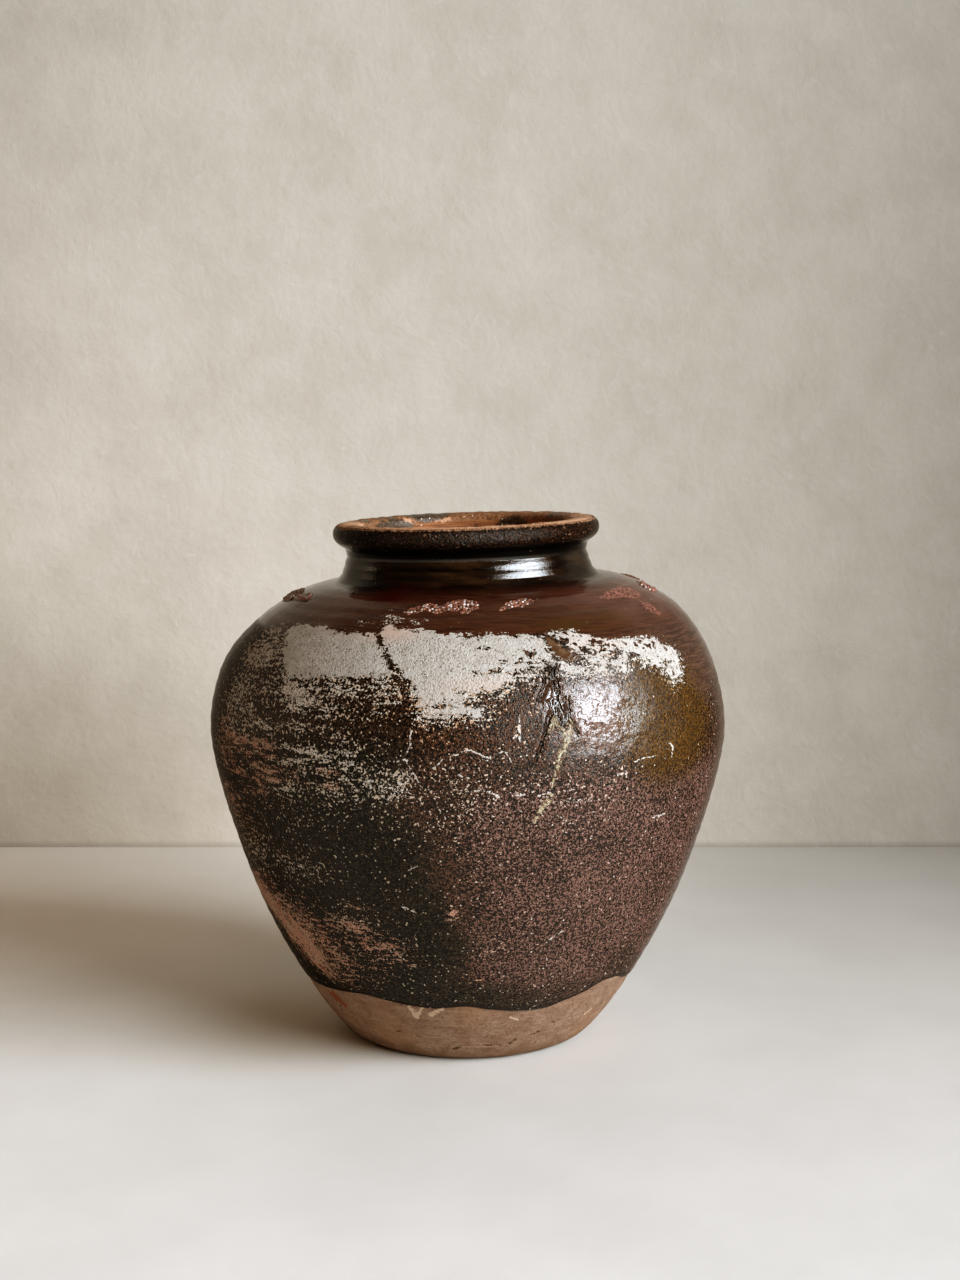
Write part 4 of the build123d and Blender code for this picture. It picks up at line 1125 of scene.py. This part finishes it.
# inside: redder, ringed, with darker blotches, and darker further down
inner_clay = c.mix(c.step(ring, 0.35, 0.65), rgb(146, 88, 52), rgb(184, 122, 76))
inner_clay = c.mix(c.mul(c.step(mid, 0.5, 0.75), 0.5), inner_clay, rgb(108, 66, 42))
inner_clay = c.mix(c.step(hgt, 262.0, 120.0), inner_clay, rgb(92, 62, 44))
is_in = c.attr("inside")
clay = c.mix(c.step(is_in, 0.3, 0.7), clay, inner_clay)
h = c.add(c.mul(c.sub(grain, 0.5), 0.30), c.add(c.mul(c.sub(fine, 0.5), 0.22), c.mul(c.sub(ring, 0.5), 0.22)))
h = c.sub(h, c.add(c.mul(dots, 0.3), c.mul(mark, 0.35)))
clay_mat = c.finish(clay, c.mixf(grain, 0.72, 0.9), c.bump(h, 0.001), 0.35, 1.45)

# ---- rim top and inside of the mouth ------------------------------------------------------------
m = Tree("worn_rim")
fine = m.noise(0.8, detail=2.0, rough=0.6)
grain = m.noise(1.7, detail=2.5, rough=0.65, seed=9.0)
mid = m.noise(7.0, detail=3.0, rough=0.6, seed=27.0)
wide = m.noise(30.0, detail=2.0, seed=35.0)
ring = m.noise(1.3, m.stretch(0.06, 0.06, 1.0), detail=2.5, rough=0.6, seed=4.0)
top = m.mix(m.step(m.add(m.mul(grain, 0.5), m.mul(fine, 0.5)), 0.36, 0.62), rgb(94, 59, 38), rgb(154, 107, 74))
inner_clay = m.mix(m.step(ring, 0.35, 0.68), rgb(116, 67, 38), rgb(162, 103, 62))
out_clay = m.mix(m.step(m.attr("inside"), 0.2, 0.8), top, inner_clay)
out_clay = m.mix(m.mul(m.step(m.add(m.attr("rub"), m.mul(m.sub(grain, 0.5), 1.2)), 0.35, 0.65), 0.8), out_clay, rgb(206, 158, 126))
smut = m.step(m.add(m.attr("smut"), m.add(m.mul(m.sub(mid, 0.5), 1.3), m.mul(m.sub(grain, 0.5), 0.5))), 0.38, 0.58)
out_clay = m.mix(m.mul(smut, 0.9), out_clay, m.mix(m.step(grain, 0.4, 0.62), rgb(26, 21, 17), rgb(72, 62, 50)))
crumb = m.mul(m.step(m.cells(2.6, seed=21.0), 0.24, 0.14), m.math("LESS_THAN", m.split(m.cells(2.6, output="Color", seed=21.0))[0], 0.14))
out_clay = m.mix(crumb, out_clay, rgb(214, 204, 190))
h = m.add(m.mul(m.sub(grain, 0.5), 0.4), m.add(m.mul(m.sub(fine, 0.5), 0.25), m.mul(m.sub(ring, 0.5), 0.15)))
rim_mat = m.finish(out_clay, m.mixf(smut, 0.7, 0.4), m.bump(h, 0.001), 0.4, 1.5)

# ---- broken clay of the lug roots ---------------------------------------------------------------
b = Tree("broken_clay")
fine = b.noise(0.7, detail=2.0, rough=0.6)
grain = b.noise(1.4, detail=2.5, rough=0.65, seed=9.0)
mid = b.noise(5.0, detail=2.0, seed=27.0)
tone = b.mix(b.step(grain, 0.40, 0.56), rgb(52, 26, 21), rgb(164, 110, 93))
tone = b.mix(b.mul(b.step(mid, 0.45, 0.65), 0.6), tone, rgb(40, 22, 18))
glint = b.mul(b.step(b.cells(1.9, seed=5.0), 0.38, 0.28), b.math("LESS_THAN", b.split(b.cells(1.9, output="Color", seed=5.0))[0], 0.72))
tone = b.mix(glint, tone, rgb(240, 232, 226))
tone = b.mix(b.step(b.attr("core"), 0.55, 0.15), tone, rgb(26, 15, 12))
h = b.add(b.mul(b.sub(grain, 0.5), 0.7), b.add(b.mul(b.sub(fine, 0.5), 0.4), b.mul(glint, 0.3)))
root_mat = b.finish(tone, b.mixf(grain, 0.3, 0.6), b.bump(h, 0.001), 0.5, 1.5)

for ob, mat, slot, nodes in (
        (glaze, glaze_mat, "brown_glaze", ["glaze_coat"]),
        (foot, clay_mat, "bare_clay", ["base_slab"]),
        (wall, clay_mat, "bare_clay", ["lower_wall"]),
        (shoulder, clay_mat, "bare_clay", ["shoulder_wall"]),
        (neck, clay_mat, "bare_clay", ["neck_collar"]),
        (rim, rim_mat, "bare_clay", ["rim_lip"]),
        (roots["roots_front"], root_mat, "broken_clay", ["lug_roots_front"]),
        (roots["roots_right"], root_mat, "broken_clay", ["lug_roots_right"]),
        (roots["roots_back"], root_mat, "broken_clay", ["lug_roots_back"]),
        (roots["roots_left"], root_mat, "broken_clay", ["lug_roots_left"])):
    ob.data.materials.append(mat)
    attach(ob, "root")
    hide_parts(*nodes)

# =================================================================================================
# 5. Floor, wall, light, camera
# =================================================================================================
WALL_Y = 0.446


def plane(name, corners, mat):
    me = bpy.data.meshes.new(name)
    me.from_pydata(corners, [], [(0, 1, 2, 3)])
    me.update()
    ob = bpy.data.objects.new(name, me)
    bpy.context.scene.collection.objects.link(ob)
    ob.data.materials.append(mat)
    return ob


f = Tree("studio_floor")
n1, n2 = f.noise(90.0, detail=3.0), f.noise(9.0, detail=3.0, seed=7.0)
f_col = f.mix(f.step(n1, 0.3, 0.7), (0.790, 0.768, 0.730), (0.835, 0.812, 0.772))
fx, fy = f.vec("DOT_PRODUCT", f.mm, (0.001, 0, 0)), f.vec("DOT_PRODUCT", f.mm, (0, 0.001, 0))
# painted light falloff: the floor darkens to the right and towards the back
f_col = f.vec("SCALE", f_col, scale=f.math("EXPONENT", f.math("MINIMUM", f.math("MAXIMUM", f.sub(f.mad(fx, -0.50, f.mad(fy, -0.25, -0.06)), f.mul(f.mul(f.most(fx, 0.0), f.most(f.add(fy, 0.1), 0.0)), 2.2)), -0.9), 0.08)))
# painted contact shadow: deeper and warmer close to the foot on the shaded side
nx, ny = f.math("MULTIPLY", f.add(fx, 0.105), 17.0), f.math("MULTIPLY", f.add(fy, 0.0), 15.0)
near = f.math("EXPONENT", f.mul(f.mad(nx, nx, f.mul(ny, ny)), -1.0))
f_col = f.mix(f.mul(near, 0.9), f_col, f.vec("MULTIPLY", f_col, (0.70, 0.62, 0.52)))
# beyond the table the floor of the room is dark
f_col = f.vec("SCALE", f_col, scale=f.step(fy, -1.9, -0.95, 0.16, 1.0))
floor_mat = f.finish(f_col, 0.62, f.bump(f.add(f.mul(n1, 0.5), f.mul(n2, 0.12)), 0.001), 0.3, 1.45)

w = Tree("studio_wall")
n1, n2 = w.noise(70.0, detail=4.0, rough=0.6), w.noise(6.0, detail=3.0, seed=7.0)
w_col = w.mix(w.step(n1, 0.25, 0.75), (0.530, 0.480, 0.415), (0.600, 0.545, 0.473))
w_col = w.mix(w.mul(w.step(w.noise(22.0, detail=4.0, rough=0.65, seed=3.0), 0.40, 0.70), 0.30), w_col, (0.640, 0.590, 0.520))
w_scr = w.noise(14.0, w.vec("ADD", w.mm, w.vec("MULTIPLY", w.noise(60.0, detail=2.0, colour=True), (50.0, 50.0, 50.0))), detail=4.0, rough=0.7, seed=61.0)
w_col = w.mix(w.mul(w.step(w_scr, 0.56, 0.74), 0.40), w_col, (0.650, 0.600, 0.532))
# painted light falloff: the wall darkens towards the corner on the right and upwards, fast above 0.75 m
wx, wz = w.mul(w.vec("DOT_PRODUCT", w.mm, (0.001, 0, 0)), 1.0), w.vec("DOT_PRODUCT", w.mm, (0, 0, 0.001))
wxc = w.least(w.most(wx, -0.6), 0.6)
shade = w.add(w.mad(wx, -0.95, w.mul(w.mul(wxc, wxc), -1.80)), w.mad(wz, -0.45, 0.09))
shade = w.add(shade, w.mul(w.mul(wxc, w.sub(wz, 0.35)), 1.0))
shade = w.sub(w.most(shade, -0.8), w.mul(w.most(w.sub(wz, 0.75), 0.0), 2.2))
# painted shadow of the jar on the wall's lower left
shade = w.sub(shade, w.mul(w.mul(w.least(w.most(w.sub(-0.15, wx), 0.0), 0.4), w.most(w.sub(0.30, wz), 0.0)), 3.4))
shade = w.math("EXPONENT", w.most(shade, -1.9))
w_col = w.vec("SCALE", w_col, scale=shade)
# painted shade: a darker strip along the foot of the wall
w_col = w.vec("SCALE", w_col, scale=w.step(wz, 0.0, 0.007, 0.72, 1.0))
wb = w.t.nodes.new("ShaderNodeBsdfPrincipled")
w.put(wb.inputs["Base Color"], w_col)
wb.inputs["Roughness"].default_value = 0.85
wb.inputs["Specular IOR Level"].default_value = 0.2
w.put(wb.inputs["Normal"], w.bump(w.add(w.mul(n1, 1.2), w.add(w.mul(n2, 0.25), w.mul(w_scr, 0.5))), 0.001))
back = w.t.nodes.new("ShaderNodeNewGeometry")
clear = w.t.nodes.new("ShaderNodeBsdfTransparent")
pick_side = w.t.nodes.new("ShaderNodeMixShader")
w.t.links.new(back.outputs["Backfacing"], pick_side.inputs[0])
w.t.links.new(wb.outputs[0], pick_side.inputs[1])
w.t.links.new(clear.outputs[0], pick_side.inputs[2])
w.t.links.new(pick_side.outputs[0], w.out.inputs["Surface"])
wall_mat = w.mat

floor = plane("floor", [(-4, -4, 0), (4, -4, 0), (4, WALL_Y, 0), (-4, WALL_Y, 0)], floor_mat)
behind = plane("floor_behind", [(-4, WALL_Y, -0.0005), (4, WALL_Y, -0.0005), (4, 4, -0.0005), (-4, 4, -0.0005)], floor_mat)
backdrop = plane("backdrop", [(-4, WALL_Y, 0), (4, WALL_Y, 0), (4, WALL_Y, 3), (-4, WALL_Y, 3)], wall_mat)


def area(name, at, to, wide, high, watts, colour):
    d = bpy.data.lights.new(name, "AREA")
    d.shape = "RECTANGLE"
    d.size, d.size_y = wide, high
    d.energy = watts
    d.color = colour
    o = bpy.data.objects.new(name, d)
    o.location = at
    o.rotation_mode = "QUATERNION"
    o.rotation_quaternion = (Vector(to) - Vector(at)).to_track_quat("-Z", "Y")
    bpy.context.scene.collection.objects.link(o)
    return o


area("window", (1.95, -1.72, 1.22), (0.95, -1.72, 1.22), 2.4, 1.35, 190.0, (0.940, 1.0, 1.075))

# the room: dim and warm, a little lighter overhead, darkest behind the camera
world = bpy.data.worlds.new("room")
bpy.context.scene.world = world
world.use_nodes = True
wt = world.node_tree
bg = wt.nodes["Background"]
tc = wt.nodes.new("ShaderNodeTexCoord")
sep = wt.nodes.new("ShaderNodeSeparateXYZ")
wt.links.new(tc.outputs["Generated"], sep.inputs[0])


def world_ramp(socket, lo, hi, a, b):
    mr = wt.nodes.new("ShaderNodeMapRange")
    mr.inputs["From Min"].default_value = lo
    mr.inputs["From Max"].default_value = hi
    wt.links.new(socket, mr.inputs["Value"])
    mx = wt.nodes.new("ShaderNodeMix")
    mx.data_type = "RGBA"
    wt.links.new(mr.outputs[0], mx.inputs["Factor"])
    for slot, v in ((6, a), (7, b)):
        if isinstance(v, tuple):
            mx.inputs[slot].default_value = (*v, 1)
        else:
            wt.links.new(v, mx.inputs[slot])
    return mx.outputs[2]


sides = world_ramp(sep.outputs[0], -0.9, 0.9, (0.070, 0.034, 0.012), (0.120, 0.068, 0.034))
front = world_ramp(sep.outputs[1], -0.9, 0.1, (0.020, 0.011, 0.006), sides)
high = world_ramp(sep.outputs[1], -0.25, 0.15, (0.260, 0.145, 0.062), (0.045, 0.026, 0.013))
upward = world_ramp(sep.outputs[2], 0.30, 0.70, front, high)
wt.links.new(upward, bg.inputs["Color"])
bg.inputs["Strength"].default_value = 1.0

cam_data = bpy.data.cameras.new("camera")
cam = bpy.data.objects.new("camera", cam_data)
bpy.context.scene.collection.objects.link(cam)
cam_data.sensor_fit = "AUTO"
cam_data.sensor_width = 36.0
cam_data.lens = 1853.0 / 1280.0 * 36.0
cam_data.clip_start, cam_data.clip_end = 0.05, 20.0
DIST, HIGH, PITCH = 1.07442, 0.36055, math.atan(226.0 / 1850.0)
cam.location = (12.2 / 1850.0 * 1.078, -DIST, HIGH)
cam.rotation_euler = (math.pi / 2 - PITCH, 0, 0)
bpy.context.scene.camera = cam

scene = bpy.context.scene
scene.view_settings.view_transform = "Standard"
scene.view_settings.look = "None"
scene.view_settings.exposure = 0.0
scene.view_settings.use_curve_mapping = True
grade = scene.view_settings.curve_mapping
grade.use_clip = False
grade.extend = "EXTRAPOLATED"


def bend(index, points):
    c = grade.curves[index]
    while len(c.points) > 2:
        c.points.remove(c.points[1])
    c.points[0].location = points[0]
    c.points[-1].location = points[-1]
    for x, y in points[1:-1]:
        c.points.new(x, y)


bend(3, [(0, 0), (0.012, 0.007), (0.04, 0.031), (0.12, 0.112), (0.35, 0.350), (0.75, 0.750), (1, 1)])
bend(1, [(0, 0), (0.05, 0.0465), (0.20, 0.190), (0.45, 0.444), (0.77, 0.770), (1, 1)])
bend(2, [(0, 0), (0.05, 0.0390), (0.15, 0.126), (0.40, 0.372), (0.77, 0.770), (1, 1)])
grade.update()
